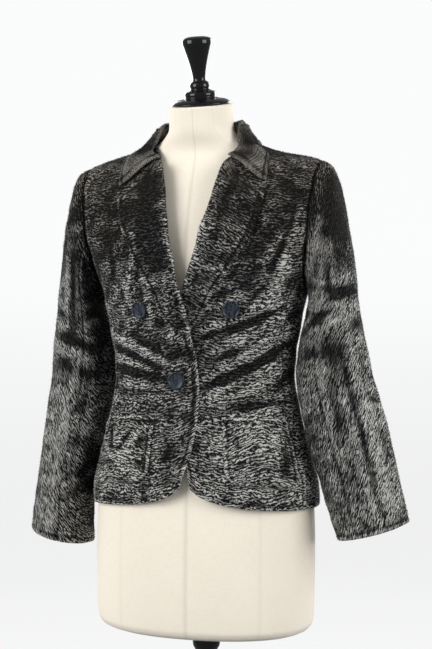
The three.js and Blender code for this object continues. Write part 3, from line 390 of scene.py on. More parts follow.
def front_point(side, angle, z, raised=0.0):
    """A point of a front's outside, raised from it."""
    x = section_point(TORSO, angle, z)[..., 0]
    return mirrored(lifted_point(angle, z, front_lift(side, x, z) + raised), side)


def row_height(level, hem):
    """Rows follow the hem at the bottom and are level higher up."""
    low = mix(hem, HEM_BLEND, (level - HEM_SIDE) / (HEM_BLEND - HEM_SIDE))
    return np.where(level >= HEM_BLEND, level, low)


def front_border(z):
    """The front's outer border: side seam, then armhole, then shoulder seam."""
    seam = np.minimum(
        FRONT_SEAM_ANGLE(z), armhole_angle(np.maximum(z, ARMHOLE["bottom"]), -ARMHOLE["front"])
    )
    cut = np.where(z < ARMHOLE["top"], armhole_angle(z, -ARMHOLE["front"]), 90.0)
    return np.where(z <= SEAM_TOP, seam, cut)


SIDE_SEAM_TOP = armhole_point(np.array(180.0 + UNDERARM_TURN))[2]


def back_border(z):
    """The back's outer border: side seam, bending into the armhole, then shoulder seam."""
    cut = armhole_angle(np.clip(z, ARMHOLE["bottom"], ARMHOLE["top"]), ARMHOLE["back"])
    share = smooth((z - SIDE_TOP_LEVEL) / (SIDE_SEAM_TOP - SIDE_TOP_LEVEL))
    low = mix(BACK_SEAM_ANGLE, armhole_angle(SIDE_SEAM_TOP, ARMHOLE["back"]), share)
    return np.where(z >= ARMHOLE["top"], 90.0, np.where(z >= SIDE_SEAM_TOP, cut, low))


def grid(across, along):
    """Shares of a sheet's width as a row, and of its height as a column."""
    return np.linspace(0, 1, across + 1)[None, :], np.linspace(0, 1, along + 1)[:, None]


def between(levels, share):
    """Reads a list at a share of its length, straight between its values."""
    return np.interp(share * (len(levels) - 1), np.arange(len(levels)), levels)


def front_surface(side):
    """Torso angles from the front edge to the side seam and armhole, at each row's height."""
    u, v = grid(76, (len(LEVELS) - 1) * 7)
    level = between(LEVELS, v)
    guess = mix(angle_at_x(-front_edge(side, level), level), front_border(level), u)
    hem = HEM_HEIGHT(np.abs(section_point(TORSO, guess, level)[..., 0]))
    z = row_height(level, hem)
    return front_point(side, mix(angle_at_x(-front_edge(side, z), z), front_border(z), u), z)


def side_surface(side):
    """Torso angles between the front's and the back's side seams; the top rows bend into the underarm."""
    levels = LEVELS[LEVELS <= SEAM_TOP]
    u, v = grid(24, (len(levels) - 1) * 7)
    level = between(levels, v)
    top = armhole_point(mix(180 - UNDERARM_TURN, 180 + UNDERARM_TURN, u))
    share = np.clip((level - SIDE_TOP_LEVEL) / (SEAM_TOP - SIDE_TOP_LEVEL), 0, 1)
    curved = smooth(np.minimum(u, 1 - u) * 9)
    z = np.where(
        level <= SIDE_TOP_LEVEL,
        row_height(level, HEM_SIDE) + 0 * u,
        mix(level, top[..., 2], share * curved),
    )
    plain = mix(front_border(z), back_border(z), u)
    angle = mix(plain, angle_at_y(top[..., 1], top[..., 2]), smooth(share) * curved)
    x = section_point(TORSO, angle, z)[..., 0]
    return mirrored(lifted_point(angle, z, front_lift(side, x, z) * smooth(1 - u * 2)), side)


def back_surface(side):
    """Torso angles from the side seam and armhole to the centre back."""
    levels = np.append(LEVELS, BACK_NECK)
    u, v = grid(64, (len(levels) - 1) * 7)
    z = row_height(between(levels, v), HEM_SIDE) + 0 * u
    angle = mix(back_border(z), 180, u)
    x = section_point(TORSO, angle, z)[..., 0]
    waist = 2.2 * np.exp(-(((z - 1075) / 20) ** 2)) * np.sin((x - 20) / 24) * smooth(u * 3) * smooth((1 - u) * 4)
    pull = 1.8 * np.exp(-(((z - 1290 - x * 0.2) / 26) ** 2)) * smooth(u * 4) * smooth((1 - u) * 3)
    folds = fold_lift(BACK_FOLDS, side, x, z) * smooth(u * 5) * smooth((1 - u) * 6)
    return mirrored(lifted_point(angle, z, waist - pull + folds), side)


def wrap(points, normals, radius, turns, steps):
    """Columns that carry a sheet's first column on round its edge, on a half circle, in front of it."""
    out = unit(points[:, 0] - points[:, 1])[:, None]
    phi = np.linspace(turns * DEGREE, 0, steps, endpoint=False)[None, :, None]
    rolled = points[:, :1] + radius * (out * np.sin(phi) - normals[:, :1] * (1 - np.cos(phi)))
    return np.concatenate([rolled, points], axis=1)


def normals_of(points, sense):
    """The cross product of the grid's two slopes, facing outwards."""
    across, up = np.gradient(points, axis=1), np.gradient(points, axis=0)
    return unit(np.cross(across, up)) * sense


def lapel_surface(side):
    """From the roll line to the lapel's edge on its front, fullest halfway, and rolled round the front's edge."""
    u, v = grid(34, 96)
    z = mix(LAPEL_EDGE[0, 0], 1394, v) + 0 * u
    start, end = angle_at_x(-front_edge(side, z), z), angle_at_x(LAPEL_REACH(z), z)
    height = LAY + DOUBLE_WALL + np.sin(u * np.pi) * 1.4 + 0 * z
    points = front_point(side, mix(start, end, u), z, height)
    return wrap(points, normals_of(points, side), 3.4, 150, 7)


def collar_surface(side):
    """From the roll line round the neck to the collar's edge, arched between, and folded over at the roll."""
    v, u = grid(170, 26)
    v, u = v.T, u.T
    step, half = np.abs(v * 2 - 1), np.where(v < 0.5, -1, 1)
    roll_angle, roll_z, edge_angle, edge_z, arch = (column(step) for column in COLLAR_CURVES)
    angle = mix(roll_angle, edge_angle, u)
    bow = COLLAR_END_BOW * np.sin(u * np.pi) * smooth((step - 0.85) / 0.15)
    z = mix(roll_z, edge_z, u + bow)
    x = section_point(TORSO, angle, z)[..., 0]
    on_front = np.where(half > 0, front_lift(1, x, z), front_lift(-1, x, z)) * (angle < 90)
    height = LAY + DOUBLE_WALL + arch * np.sin(u * np.pi) + COLLAR_FOLD * smooth(1 - u * 2) + on_front
    points = lifted_point(angle, z, height)
    points[..., 0] *= half
    return wrap(points, normals_of(points, -1), 2.6, 140, 6)


def stand_surface(side):
    """Upright from the neck seam to just below the collar's roll line."""
    v, u = grid(150, 10)
    v, u = v.T, u.T
    step, half = np.abs(v * 2 - 1) * STAND_END, np.where(v < 0.5, -1, 1)
    angle, roll_z = COLLAR_CURVES[0](step) + 0 * u, COLLAR_CURVES[1](step)
    at_back = smooth((angle - NECK_SEAM["turn"]) / NECK_SEAM["over"])
    seam = mix(LEVELS[-1], BACK_NECK, at_back) + NECK_SEAM["gap"]
    points = section_point(TORSO, angle, mix(seam, roll_z - 1, u))
    points[..., 0] *= half
    return points


def pocket_surface(side):
    """A patch on its front: square at the top, with quarter circles for its lower corners."""
    u, v = grid(38, 38)
    height = (POCKET["top"] - POCKET["bottom"]) * v
    within = np.clip(POCKET["corner"] - height, 0, POCKET["corner"])
    narrow = POCKET["corner"] - np.sqrt(POCKET["corner"] ** 2 - within**2)
    middle = (POCKET["from"] + POCKET["to"]) / 2
    reach = (POCKET["to"] - POCKET["from"]) / 2 * (1 - narrow / POCKET["half_width"])
    angle = middle + (u * 2 - 1) * reach
    z = POCKET["bottom"] + height + POCKET["tilt"] * (0.5 - u)
    belly = 1.6 * np.sin(u * np.pi) * np.sin(v * np.pi) + 1.4 * smooth((v - 0.8) * 5) * np.sin(u * np.pi)
    return front_point(side, angle, z, LAY + WALL + belly)


def sleeve_fold(side, turn, ring):
    """The sum of folds across a sleeve, each a bell round it and along it."""
    total = np.zeros(np.broadcast(turn, ring).shape)
    for at, middle, height, wide, over, depth in SLEEVE_FOLDS:
        if at == side:
            bent = ring - height + 0.006 * (turn - middle)
            total = total + depth * np.exp(-(((turn - middle) / wide) ** 2) - (bent / over) ** 2)
    return total


def sleeve_point(side, turn, ring):
    """Rings between an inner and an outer point, as ellipses; the first ones blend into the armhole."""
    in_x, in_z, out_x, out_z, front, back = (column(np.maximum(ring, 1)) for column in SLEEVE_CURVES[side])
    sine, cosine = np.sin(turn * DEGREE), np.cos(turn * DEGREE)
    swell = 1 + sleeve_fold(side, turn, ring) / SLEEVE_RADIUS
    share = 0.5 + cosine / 2
    x = mix(in_x, out_x, 0.5 + (share - 0.5) * swell)
    y = -sine * np.where(sine > 0, front, back) * swell
    plain = np.stack(np.broadcast_arrays(x, y, mix(in_z, out_z, share)), -1)
    return mirrored(mix(armhole_point(turn), plain, CAP_SHARE(ring)[..., None]), side)


def upper_sleeve_surface(side):
    """The outer share of the sleeve, from the armhole to the cuff."""
    u, v = grid(84, 196)
    ring = v * len(SLEEVE[side])
    return sleeve_point(side, mix(SLEEVE_SEAM_TURN, -SLEEVE_SEAM_TURN, u), ring)


def under_sleeve_surface(side):
    """The inner share of the sleeve, from the armhole to the cuff."""
    u, v = grid(52, 180)
    ring = v * len(SLEEVE[side])
    return sleeve_point(side, mix(360 - SLEEVE_SEAM_TURN, SLEEVE_SEAM_TURN, u), ring)


SEAM, EDGE, HEMMED, ROLLED = "seam", "edge", "hemmed", "rolled"
# Cloth pieces: surface, side, sense, wall, borders (left, right, bottom, top), lean of the crimp's ridges
CLOTH = {
    "front_right": (front_surface, -1, -1, WALL, (EDGE, SEAM, HEMMED, SEAM), 4),
    "front_left": (front_surface, 1, 1, WALL, (EDGE, SEAM, HEMMED, SEAM), 6),
    "side_right": (side_surface, -1, -1, WALL, (SEAM, SEAM, HEMMED, SEAM), -5),
    "side_left": (side_surface, 1, 1, WALL, (SEAM, SEAM, HEMMED, SEAM), 5),
    "back_right": (back_surface, -1, -1, WALL, (SEAM, SEAM, HEMMED, SEAM), 4),
    "back_left": (back_surface, 1, 1, WALL, (SEAM, SEAM, HEMMED, SEAM), -4),
    "sleeve_right_upper": (upper_sleeve_surface, -1, 1, WALL, (SEAM, SEAM, SEAM, HEMMED), 12),
    "sleeve_right_under": (under_sleeve_surface, -1, 1, WALL, (SEAM, SEAM, SEAM, HEMMED), 16),
    "sleeve_left_upper": (upper_sleeve_surface, 1, -1, WALL, (SEAM, SEAM, SEAM, HEMMED), -12),
    "sleeve_left_under": (under_sleeve_surface, 1, -1, WALL, (SEAM, SEAM, SEAM, HEMMED), -16),
    "collar_fall": (collar_surface, 1, -1, DOUBLE_WALL, (ROLLED, EDGE, EDGE, EDGE), 0),
    "collar_stand": (stand_surface, 1, -1, WALL, (SEAM, SEAM, SEAM, SEAM), 0),
    "lapel_right": (lapel_surface, -1, -1, DOUBLE_WALL, (ROLLED, EDGE, SEAM, SEAM), 8),
    "lapel_left": (lapel_surface, 1, 1, DOUBLE_WALL, (ROLLED, EDGE, SEAM, SEAM), -8),
    "pocket_right": (pocket_surface, -1, -1, WALL, (EDGE, EDGE, EDGE, HEMMED), -3),
    "pocket_left": (pocket_surface, 1, 1, WALL, (EDGE, EDGE, EDGE, HEMMED), 3),
}


CRIMP = {"sleeve": 1.0, "collar": 0.0, "lapel": 1.0}  # how plain the ridges are; 1 elsewhere


def distances(points):
    """Lengths along the grid's lines from its left, right, bottom and top borders."""
    across = np.linalg.norm(np.diff(points, axis=1), axis=2)
    up = np.linalg.norm(np.diff(points, axis=0), axis=2)
    left = np.concatenate([np.zeros((len(points), 1)), across.cumsum(1)], 1)
    bottom = np.concatenate([np.zeros((1, points.shape[1])), up.cumsum(0)], 0)
    return left, left[:, -1:] - left, bottom, bottom[-1:] - bottom


def ripples(points, seed, length, count=14):
    """A sum of plane waves through space, with seeded directions and lengths: soft unevenness from -1 to 1."""
    rng = np.random.default_rng(seed)
    direction = unit(rng.normal(size=(count, 3)) * (1, 1, 1.3))
    rate = 2 * np.pi / (length * rng.uniform(0.7, 1.6, count))
    phase = rng.uniform(0, 2 * np.pi, count)
    waves = np.sin((points @ direction.T) * rate + phase)
    return waves.sum(-1) / np.sqrt(count)


def relief(points, borders, seed):
    """Depth pressed into the cloth: seams sink, edges round off, a stitched line runs beside hems and edges."""
    total = 0.5 * ripples(points, seed, 34) + 0.8 * ripples(points, seed + 1, 90)
    for border, away in zip(borders, distances(points)):
        if border == SEAM:
            total = total - 1.4 * np.exp(-((away / 3.6) ** 2))
        if border in (EDGE, HEMMED):
            total = total - 0.9 * np.exp(-((away / 2.2) ** 2))
            total = total - 0.7 * np.exp(-(((away - 8) / 2.2) ** 2))
    return total


def blurred(values, passes):
    """Each value moved halfway to the mean of its four neighbours, again and again."""
    for _ in range(passes):
        wide = np.pad(values, ((1, 1), (1, 1), (0, 0)), mode="edge")
        around = wide[:-2, 1:-1] + wide[2:, 1:-1] + wide[1:-1, :-2] + wide[1:-1, 2:]
        values = values / 2 + around / 8
    return values


def tone(points, normals, borders, seed):
    """How light (above 0) or dark the pile shows: random unevenness, the listed patches of painted sheen and painted
    shade, painted highlights on ridges and edges, and painted shade in troughs, seams and stitched lines.
    """
    total = 0.16 * ripples(points, seed + 7, 55) + 0.1 * ripples(points, seed + 8, 20)
    at_front = smooth(0.5 - points[..., 1] / 60)
    # Listed patches: painted sheen where the pile lies crushed, dark standing pile, painted shade along creases and
    # beside the lapels' edges, and painted highlights on fold ridges.
    for x, z, wide, tall, lean, front, back in SHEEN_AND_SHADE_PATCHES:
        sine, cosine = np.sin(lean * DEGREE), np.cos(lean * DEGREE)
        right, up = points[..., 0] - x, points[..., 2] - z
        bell = np.exp(-(((right * cosine + up * sine) / wide) ** 2) - ((up * cosine - right * sine) / tall) ** 2)
        total = total + bell * mix(back, front, at_front)
    # Painted highlight on the relief's ridges and painted shade in its troughs.
    height = ((points - blurred(points, 24)) * normals).sum(-1)
    inside = (slice(4, -4), slice(4, -4))
    total = total + 0.75 * np.clip((height - height[inside].mean()) / 0.8, -1.5, 0.9)
    # Painted shade in seams; a painted highlight on edges and hems, and painted shade along the stitched line beside
    # them.
    for border, away in zip(borders, distances(points)):
        if border == SEAM:
            total = total - 0.4 * np.exp(-((away / 2.6) ** 2))
        if border in (EDGE, HEMMED):
            total = total + 0.25 * np.exp(-((away / 2.5) ** 2)) - 0.3 * np.exp(-(((away - 7) / 2.5) ** 2))
    return total


def flat_map(points, lean):
    """Lengths along the cloth from its corner, turned so that the crimp's ridges run along the first."""
    left, _, bottom, _ = distances(points)
    turn = lean * DEGREE
    along = left * np.cos(turn) + bottom * np.sin(turn)
    return np.stack([along, bottom * np.cos(turn) - left * np.sin(turn)], -1) * MM


def rim_loop(rows, cols):
    """The grid's border vertices in order: along the bottom, up, back along the top, and down."""
    index = np.arange(rows * cols).reshape(rows, cols)
    return np.concatenate([index[0], index[1:, -1], index[-1, -2::-1], index[-2:0:-1, 0]])


def shell(points, normals, wall, sense, bulge=0.8):
    """A closed wall: the outer grid, an inner grid a wall's thickness in, and a rounded rim between them."""
    rows, cols = points.shape[:2]
    inner = points - normals * wall
    outward = np.zeros_like(points)
    outward[:, 0] += unit(points[:, 0] - points[:, 1])
    outward[:, -1] += unit(points[:, -1] - points[:, -2])
    outward[0] += unit(points[0] - points[1])
    outward[-1] += unit(points[-1] - points[-2])
    rim = rim_loop(rows, cols)
    flat = points.reshape(-1, 3)
    middle = (flat[rim] + inner.reshape(-1, 3)[rim]) / 2 + unit(outward.reshape(-1, 3)[rim]) * bulge
    count = rows * cols
    index = np.arange(count).reshape(rows, cols)
    quads = np.stack([index[:-1, :-1], index[:-1, 1:], index[1:, 1:], index[1:, :-1]], -1).reshape(-1, 4)
    band = np.arange(len(rim)) + 2 * count
    a, b, ma, mb = rim, np.roll(rim, -1), band, np.roll(band, -1)
    sides = np.concatenate([np.stack([b, a, ma, mb], -1), np.stack([mb, ma, a + count, b + count], -1)])
    faces = np.concatenate([quads, quads[:, ::-1] + count, sides])
    inside = np.concatenate([np.zeros(len(quads)), np.ones(len(quads)), np.zeros(len(sides))])
    places = np.concatenate([flat, inner.reshape(-1, 3), middle])
    owner = np.concatenate([np.arange(count), np.arange(count), rim])
    return places, faces if sense > 0 else faces[:, ::-1], inside.astype(int), owner


def make_mesh(name, places, faces, materials, face_material=None, flat=None, values=()):
    """A smooth-shaded mesh object in metres from arrays: places, faces, face materials, flat lengths and named values."""
    mesh = bpy.data.meshes.new(name)
    mesh.from_pydata((np.asarray(places) * MM).tolist(), [], np.asarray(faces).tolist())
    if flat is not None:
        layer = mesh.uv_layers.new(name="cloth")
        layer.data.foreach_set("uv", flat[np.asarray(faces).ravel()].ravel())
    for material in materials:
        mesh.materials.append(material)
    for value, numbers in dict(values).items():
        mesh.attributes.new(value, "FLOAT", "POINT").data.foreach_set("value", numbers)
    if face_material is not None:
        mesh.polygons.foreach_set("material_index", face_material)
    mesh.shade_smooth()
    mesh.update()
    piece = bpy.data.objects.new(name, mesh)
    bpy.context.scene.collection.objects.link(piece)
    return piece


def place_piece(piece, slot, *nodes):
    """Rides a piece on the body and hides the nodes that it stands for; the slot is not used."""
    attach(piece, "root")
    if nodes:
        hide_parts(*nodes)
    return piece


def cloth_grid(name):
    """A cloth piece's outside with its relief, its normals and its flat lengths."""
    surface, side, sense, _, borders, lean = CLOTH[name]
    points = surface(side)
    normals = normals_of(points, sense)
    seed = 20 + list(CLOTH).index(name) * 3
    raised = points + normals * relief(points, borders, seed)[..., None]
    return raised, normals_of(raised, sense), flat_map(points, lean) + seed * 0.37


def make_cloth(name, materials):
    """A cloth piece as a closed wall on its solid's form, mapped by its flat lengths."""
    _, _, sense, wall, borders, _ = CLOTH[name]
    points, normals, flat = cloth_grid(name)
    places, faces, inside, owner = shell(points, normals, wall, sense)
    crimp = CRIMP.get(name.split("_")[0], 1.0)
    values = {
        "tone": tone(points, normals, borders, list(CLOTH).index(name)).ravel()[owner],
        "crimp": np.full(len(owner), crimp),
    }
    piece = make_mesh("cloth_" + name, places, faces, materials, inside, flat.reshape(-1, 2)[owner], values)
    return place_piece(piece, "pile_cloth", name)


class Term:
    """A number in a shader, so that sums on it read as plain expressions and add their Math nodes."""

    def __init__(self, shader, socket):
        self.shader, self.socket = shader, socket

    def math(self, operation, *values):
        node = self.shader.node("ShaderNodeMath", {"operation": operation}, dict(enumerate(values)))
        return Term(self.shader, node.outputs[0])

    def __add__(self, other):
        return self.math("ADD", self, other)

    def __sub__(self, other):
        return self.math("SUBTRACT", self, other)

    def __rsub__(self, other):
        return self.math("SUBTRACT", other, self)

    def __mul__(self, other):
        return self.math("MULTIPLY", self, other)

    def __truediv__(self, other):
        return self.math("DIVIDE", self, other)

    def __rtruediv__(self, other):
        return self.math("DIVIDE", other, self)

    def __pow__(self, other):
        return self.math("POWER", self, other)

    __radd__ = __add__
    __rmul__ = __mul__

    def sine(self):
        return self.math("SINE", self)

    def limited(self, low, high):
        """The number kept between two bounds."""
        return self.math("MAXIMUM", low, self.math("MINIMUM", high, self))

    def step(self, low, high):
        """0 below low, 1 above high and a smooth step between."""
        node = self.shader.node(
            "ShaderNodeMapRange", {"interpolation_type": "SMOOTHSTEP"}, {0: self, 1: low, 2: high}
        )
        return Term(self.shader, node.outputs[0])


class Shader:
    """A material on one Principled shader, built by node calls."""

    def __init__(self, name, **constants):
        self.material = bpy.data.materials.new(name)
        self.material.use_nodes = True
        self.tree = self.material.node_tree
        self.surface = self.tree.nodes["Principled BSDF"]
        for socket, value in constants.items():
            self.surface.inputs[socket.replace("_", " ").title().replace("Ior", "IOR")].default_value = value

    def node(self, kind, settings=(), inputs=()):
        """Adds a node, sets its settings first, and then gives its sockets values or links."""
        node = self.tree.nodes.new(kind)
        for name, value in dict(settings).items():
            setattr(node, name, value)
        for key, value in dict(inputs).items():
            if isinstance(value, Term):
                value = value.socket
            if isinstance(value, bpy.types.NodeSocket):
                self.tree.links.new(value, node.inputs[key])
            else:
                node.inputs[key].default_value = value
        return node

    def place(self):
        """The place on the object, in metres."""
        return self.node("ShaderNodeTexCoord").outputs["Object"]

    def flat(self):
        """The place on the piece's own flat map, in metres."""
        return self.node("ShaderNodeUVMap", {"uv_map": "cloth"}).outputs[0]

    def value(self, name):
        """One of the piece's own values."""
        return Term(self, self.node("ShaderNodeAttribute", {"attribute_name": name}).outputs["Fac"])

    def part(self, vector, axis):
        """One of a vector's three numbers."""
        return Term(self, self.node("ShaderNodeSeparateXYZ", inputs={0: vector}).outputs[axis])

    def stretched(self, vector, scale):
        """A vector with its three numbers scaled."""
        node = self.node("ShaderNodeVectorMath", {"operation": "MULTIPLY"}, {0: vector, 1: scale})
        return node.outputs[0]

    def noise(self, vector, scale, detail=2.0, roughness=0.5):
        """Soft noise from 0 to 1."""
        inputs = {"Vector": vector, "Scale": scale, "Detail": detail, "Roughness": roughness}
        return Term(self, self.node("ShaderNodeTexNoise", inputs=inputs).outputs[0])

    def mixed(self, share, first, second):
        """The blend of two colours by a share."""
        node = self.node("ShaderNodeMix", {"data_type": "RGBA"}, {0: share, 6: first, 7: second})
        return node.outputs[2]

    def bump(self, height, distance, strength=1.0):
        """Gives the surface the relief of a height from 0 to 1."""
        inputs = {"Height": height, "Distance": distance, "Strength": strength}
        normal = self.node("ShaderNodeBump", inputs=inputs).outputs[0]
        self.tree.links.new(normal, self.surface.inputs["Normal"])

    def feed(self, **sockets):
        """Links what changes over the surface to the Principled shader."""
        for name, value in sockets.items():
            socket = value.socket if isinstance(value, Term) else value
            self.tree.links.new(socket, self.surface.inputs[name.replace("_", " ").title()])
        return self.material


def colour(values):
    """A colour property with full opacity."""
    return (*values, 1.0)


def pile_material(look, single=False):
    """Crimped pile: ridges a few millimetres apart that wander, break and merge, silver tips on a dark ground.

    A single fibre takes the cloth's colour where it stands, dark at its root.
    """
    name = "pile_fibre" if single else "crimped_pile"
    shader = Shader(name, sheen_weight=0.04, sheen_roughness=0.4, specular_ior_level=0.06)
    flat, place = shader.flat(), shader.place()
    # The tone value is the pile's random unevenness with painted sheen where it lies crushed, painted shade in
    # creases, seams and beside the lapels, and painted highlights on ridges and edges.
    lay_and_shade, crimp = shader.value("tone"), shader.value("crimp")
    across = shader.part(flat, 1)
    wander = shader.noise(shader.stretched(flat, (0.6, 1.0, 1.0)), 40.0, 2.0) * 2 - 1
    jitter = shader.noise(shader.stretched(flat, (0.7, 1.0, 1.0)), 170.0, 2.0) * 2 - 1
    phase = (across / look.ridge_spacing + wander * 2.4 + jitter * 1.1) * (2 * np.pi)
    ridge = (phase.sine() * 0.5 + 0.5) ** 1.5
    breaks = shader.noise(shader.stretched(flat, (0.55, 1.0, 1.0)), 300.0, 2.0).step(0.34, 0.6)
    fibre = shader.noise(flat, 1500.0, 2.0, 0.6) - 0.5
    grain = shader.noise(flat, 520.0, 3.0, 0.7).step(0.34, 0.68)
    crest = ridge * breaks * crimp + grain * (1 - crimp * 0.72)
    # More of the silver tips where the tone is high (painted sheen and highlights), fewer where it is low (painted
    # shade).
    amount = (lay_and_shade * 1.0 + 0.68).limited(0.0, 1.8)
    tips = (crest * (amount * 0.42 + 0.74) + fibre * 0.55 + (grain - 0.5) * 0.22).step(0.2, 1.0) * (amount * 0.88 + 0.12)
    # At the chest and shoulders the tips are darker and warmer and the ground a little lighter and warmer: painted
    # shade where the pile shines less.
    upper = (shader.part(place, 2) + (shader.noise(place, 13.0) - 0.5) * 0.25).step(1.2, 1.36)
    ground = shader.mixed(upper, colour(look.ground), colour(look.ground_upper))
    tip = shader.mixed(upper, colour(look.tips), colour(look.tips_upper))
    if single:
        tips = tips * (shader.value("up") * 0.9 + 0.1)
    else:
        shader.bump(crest * 0.7 + grain * 0.2 + fibre * 0.1, 0.0014, 0.9)
    return shader.feed(Base_Color=shader.mixed(tips.limited(0, 1), ground, tip), Roughness=0.92 - tips * 0.2)


def lining_material(look):
    """Plain satin lining: a fine twill of diagonal ribs with soft creases, lighter on their crests as painted sheen.
    """
    shader = Shader("satin_lining", sheen_weight=0.2, specular_ior_level=0.4)
    flat = shader.flat()
    rib = ((shader.part(flat, 0) + shader.part(flat, 1)) * 4200.0).sine() * 0.5 + 0.5
    crease = shader.noise(flat, 30.0, 3.0)
    # Painted sheen: the colour lightens where the creases rise.
    base = shader.mixed(crease, colour(look.lining), colour(np.array(look.lining) * 1.6))
    shader.bump(crease * 0.8 + rib * 0.2, 0.0008, 0.5)
    return shader.feed(Base_Color=base, Roughness=0.5 + rib * 0.1)


def canvas_material(look):
    """Unbleached plain weave: threads over and under in two directions, slubs, and the form's sewn seams."""
    shader = Shader("form_canvas", sheen_weight=0.15, specular_ior_level=0.3)
    flat, place = shader.flat(), shader.place()
    warp = (shader.part(flat, 0) * (2 * np.pi / 0.0011)).sine()
    weft = (shader.part(flat, 1) * (2 * np.pi / 0.0011)).sine()
    weave = warp * weft * 0.5 + 0.5
    slub = shader.noise(shader.stretched(flat, (1.0, 0.08, 1.0)), 900.0, 2.0)
    slub_across = shader.noise(shader.stretched(flat, (0.08, 1.0, 1.0)), 900.0, 2.0)
    stain = shader.noise(place, 7.0, 3.0)
    seam = shader.value("seam")
    cloth = shader.mixed(stain.step(0.3, 0.75), colour(look.canvas), colour(look.canvas_shade))
    thread = shader.mixed((slub * slub_across).step(0.12, 0.45) * 0.5, cloth, colour(look.canvas_light))
    base = shader.mixed(seam * 0.35, thread, colour(np.array(look.canvas) * 0.6))
    shader.bump(weave * 0.25 + slub * 0.2 + slub_across * 0.2 - seam * 0.7, 0.0007, 0.6)
    return shader.feed(Base_Color=base, Roughness=0.82 + slub * 0.12)


def lacquer_material(look):
    """Black lacquer on turned wood: gloss with faint turning rings, rubbed patches and a little dust."""
    shader = Shader("black_lacquer", coat_roughness=0.06, specular_ior_level=0.22)
    place = shader.place()
    peel = shader.noise(place, 160.0, 2.0)
    rings = shader.noise(shader.stretched(place, (1.0, 1.0, 26.0)), 30.0, 2.0)
    dust = shader.noise(place, 900.0, 3.0, 0.7).step(0.62, 0.8)
    worn = shader.noise(place, 26.0, 4.0, 0.65).step(0.6, 0.8)
    base = shader.mixed(dust * 0.1 + worn * 0.08, colour(look.lacquer), (0.12, 0.11, 0.1, 1))
    shader.bump(peel * 0.5 + rings * 0.5, 0.0003, 0.25)
    return shader.feed(Base_Color=base, Roughness=0.16 + dust * 0.2 + worn * 0.14, Coat_Weight=0.16 - dust * 0.1)


def button_material(look):
    """Polished shell-like plastic: slate blue with a pearly cloud, and upright pale streaks that are a painted
    highlight.
    """
    shader = Shader("polished_button", coat_weight=0.1, coat_roughness=0.12, specular_ior_level=0.25)
    place = shader.place()
    cloud = shader.noise(shader.stretched(place, (1.0, 1.0, 0.35)), 160.0, 3.0)
    # Upright streaks of the pearl colour: painted highlight.
    highlight_streak = shader.noise(shader.stretched(place, (4.0, 4.0, 0.3)), 90.0, 2.0)
    base = shader.mixed((cloud * 0.6 + highlight_streak * 0.5).step(0.42, 0.75), colour(look.button), colour(look.button_pearl_and_highlight))
    shader.bump(cloud, 0.0002, 0.3)
    return shader.feed(Base_Color=base, Roughness=0.2 + highlight_streak * 0.15)


def thread_material(look):
    """Twisted thread: fine slanting plies."""
    shader = Shader("button_thread", sheen_weight=0.2)
    place = shader.place()
    ply = ((shader.part(place, 0) + shader.part(place, 2)) * 9000.0).sine() * 0.5 + 0.5
    base = shader.mixed(ply, (0.012, 0.012, 0.014, 1), (0.06, 0.06, 0.065, 1))
    shader.bump(ply, 0.0002, 0.6)
    return shader.feed(Base_Color=base, Roughness=0.6 + ply * 0.2)


def studio_material():
    """Pale seamless paper, a little uneven; it glows as painted light, brighter higher up."""
    shader = Shader("studio_paper", specular_ior_level=0.1)
    tone = shader.noise(shader.place(), 0.8, 2.0)
    base = shader.mixed(tone, (0.05, 0.05, 0.05, 1), (0.06, 0.06, 0.06, 1))
    # Painted light: the paper's glow brightens higher up.
    high = (shader.part(shader.place(), 2) + tone * 0.2).step(0.3, 1.7)
    glow = shader.mixed(high, (0.84, 0.842, 0.845, 1), (0.935, 0.94, 0.945, 1))
    shader.surface.inputs["Emission Strength"].default_value = 1.0
    return shader.feed(Base_Color=base, Emission_Color=glow, Roughness=0.95 - tone * 0.05)


def made(name, build, *arguments):
    """A material of a name, built once."""
    return bpy.data.materials.get(name) or build(*arguments)


def cloth_materials(look):
    return [made("crimped_pile", pile_material, look), made("satin_lining", lining_material, look)]


def rings_mesh(name, rings, material, flat=None, attribute=None):
    """A closed surface from rings of points, with a fan on its first and its last ring."""
    rows, steps = rings.shape[:2]
    index = np.arange(rows * steps).reshape(rows, steps)
    after = np.roll(index, -1, axis=1)
    quads = np.stack([index[:-1], after[:-1], after[1:], index[1:]], -1).reshape(-1, 4)
    ends = np.stack([rings[0].mean(0), rings[-1].mean(0)])
    low = np.stack([after[0], index[0], np.full(steps, rows * steps)], -1)
    high = np.stack([index[-1], after[-1], np.full(steps, rows * steps + 1)], -1)
    mesh = bpy.data.meshes.new(name)
    places = np.concatenate([rings.reshape(-1, 3), ends]) * MM
    faces = quads.tolist() + low.tolist() + high.tolist()
    mesh.from_pydata(places.tolist(), [], faces)
    if flat is not None:
        lengths = np.concatenate([flat.reshape(-1, 2), flat[0].mean(0)[None], flat[-1].mean(0)[None]])
        corners = np.concatenate([quads.ravel(), low.ravel(), high.ravel()])
        layer = mesh.uv_layers.new(name="cloth")
        layer.data.foreach_set("uv", lengths[corners].ravel())
    if attribute is not None:
        layer = mesh.attributes.new("seam", "FLOAT", "POINT")
        layer.data.foreach_set("value", np.concatenate([attribute.ravel(), [0, 0]]))
    mesh.materials.append(material)
    mesh.shade_smooth()
    piece = bpy.data.objects.new(name, mesh)
    bpy.context.scene.collection.objects.link(piece)
    return piece


def rounded(profile, steps):
    """A profile with points added along it on smooth curves, so that its corners are soft."""
    at = np.arange(len(profile))
    fine = np.linspace(0, len(profile) - 1, (len(profile) - 1) * steps + 1)
    return np.stack([curve(at, profile[:, 0])(fine), curve(at, profile[:, 1])(fine)], -1)


def turned_rings(profile, steps):
    """Rings of a turned piece: each point of the profile carried round the upright axis."""
    turn = np.linspace(0, 2 * np.pi, steps, endpoint=False)
    radius, height = profile[1:-1, 0, None], profile[1:-1, 1, None]
    return np.stack(np.broadcast_arrays(radius * np.cos(turn), radius * np.sin(turn), height), -1)


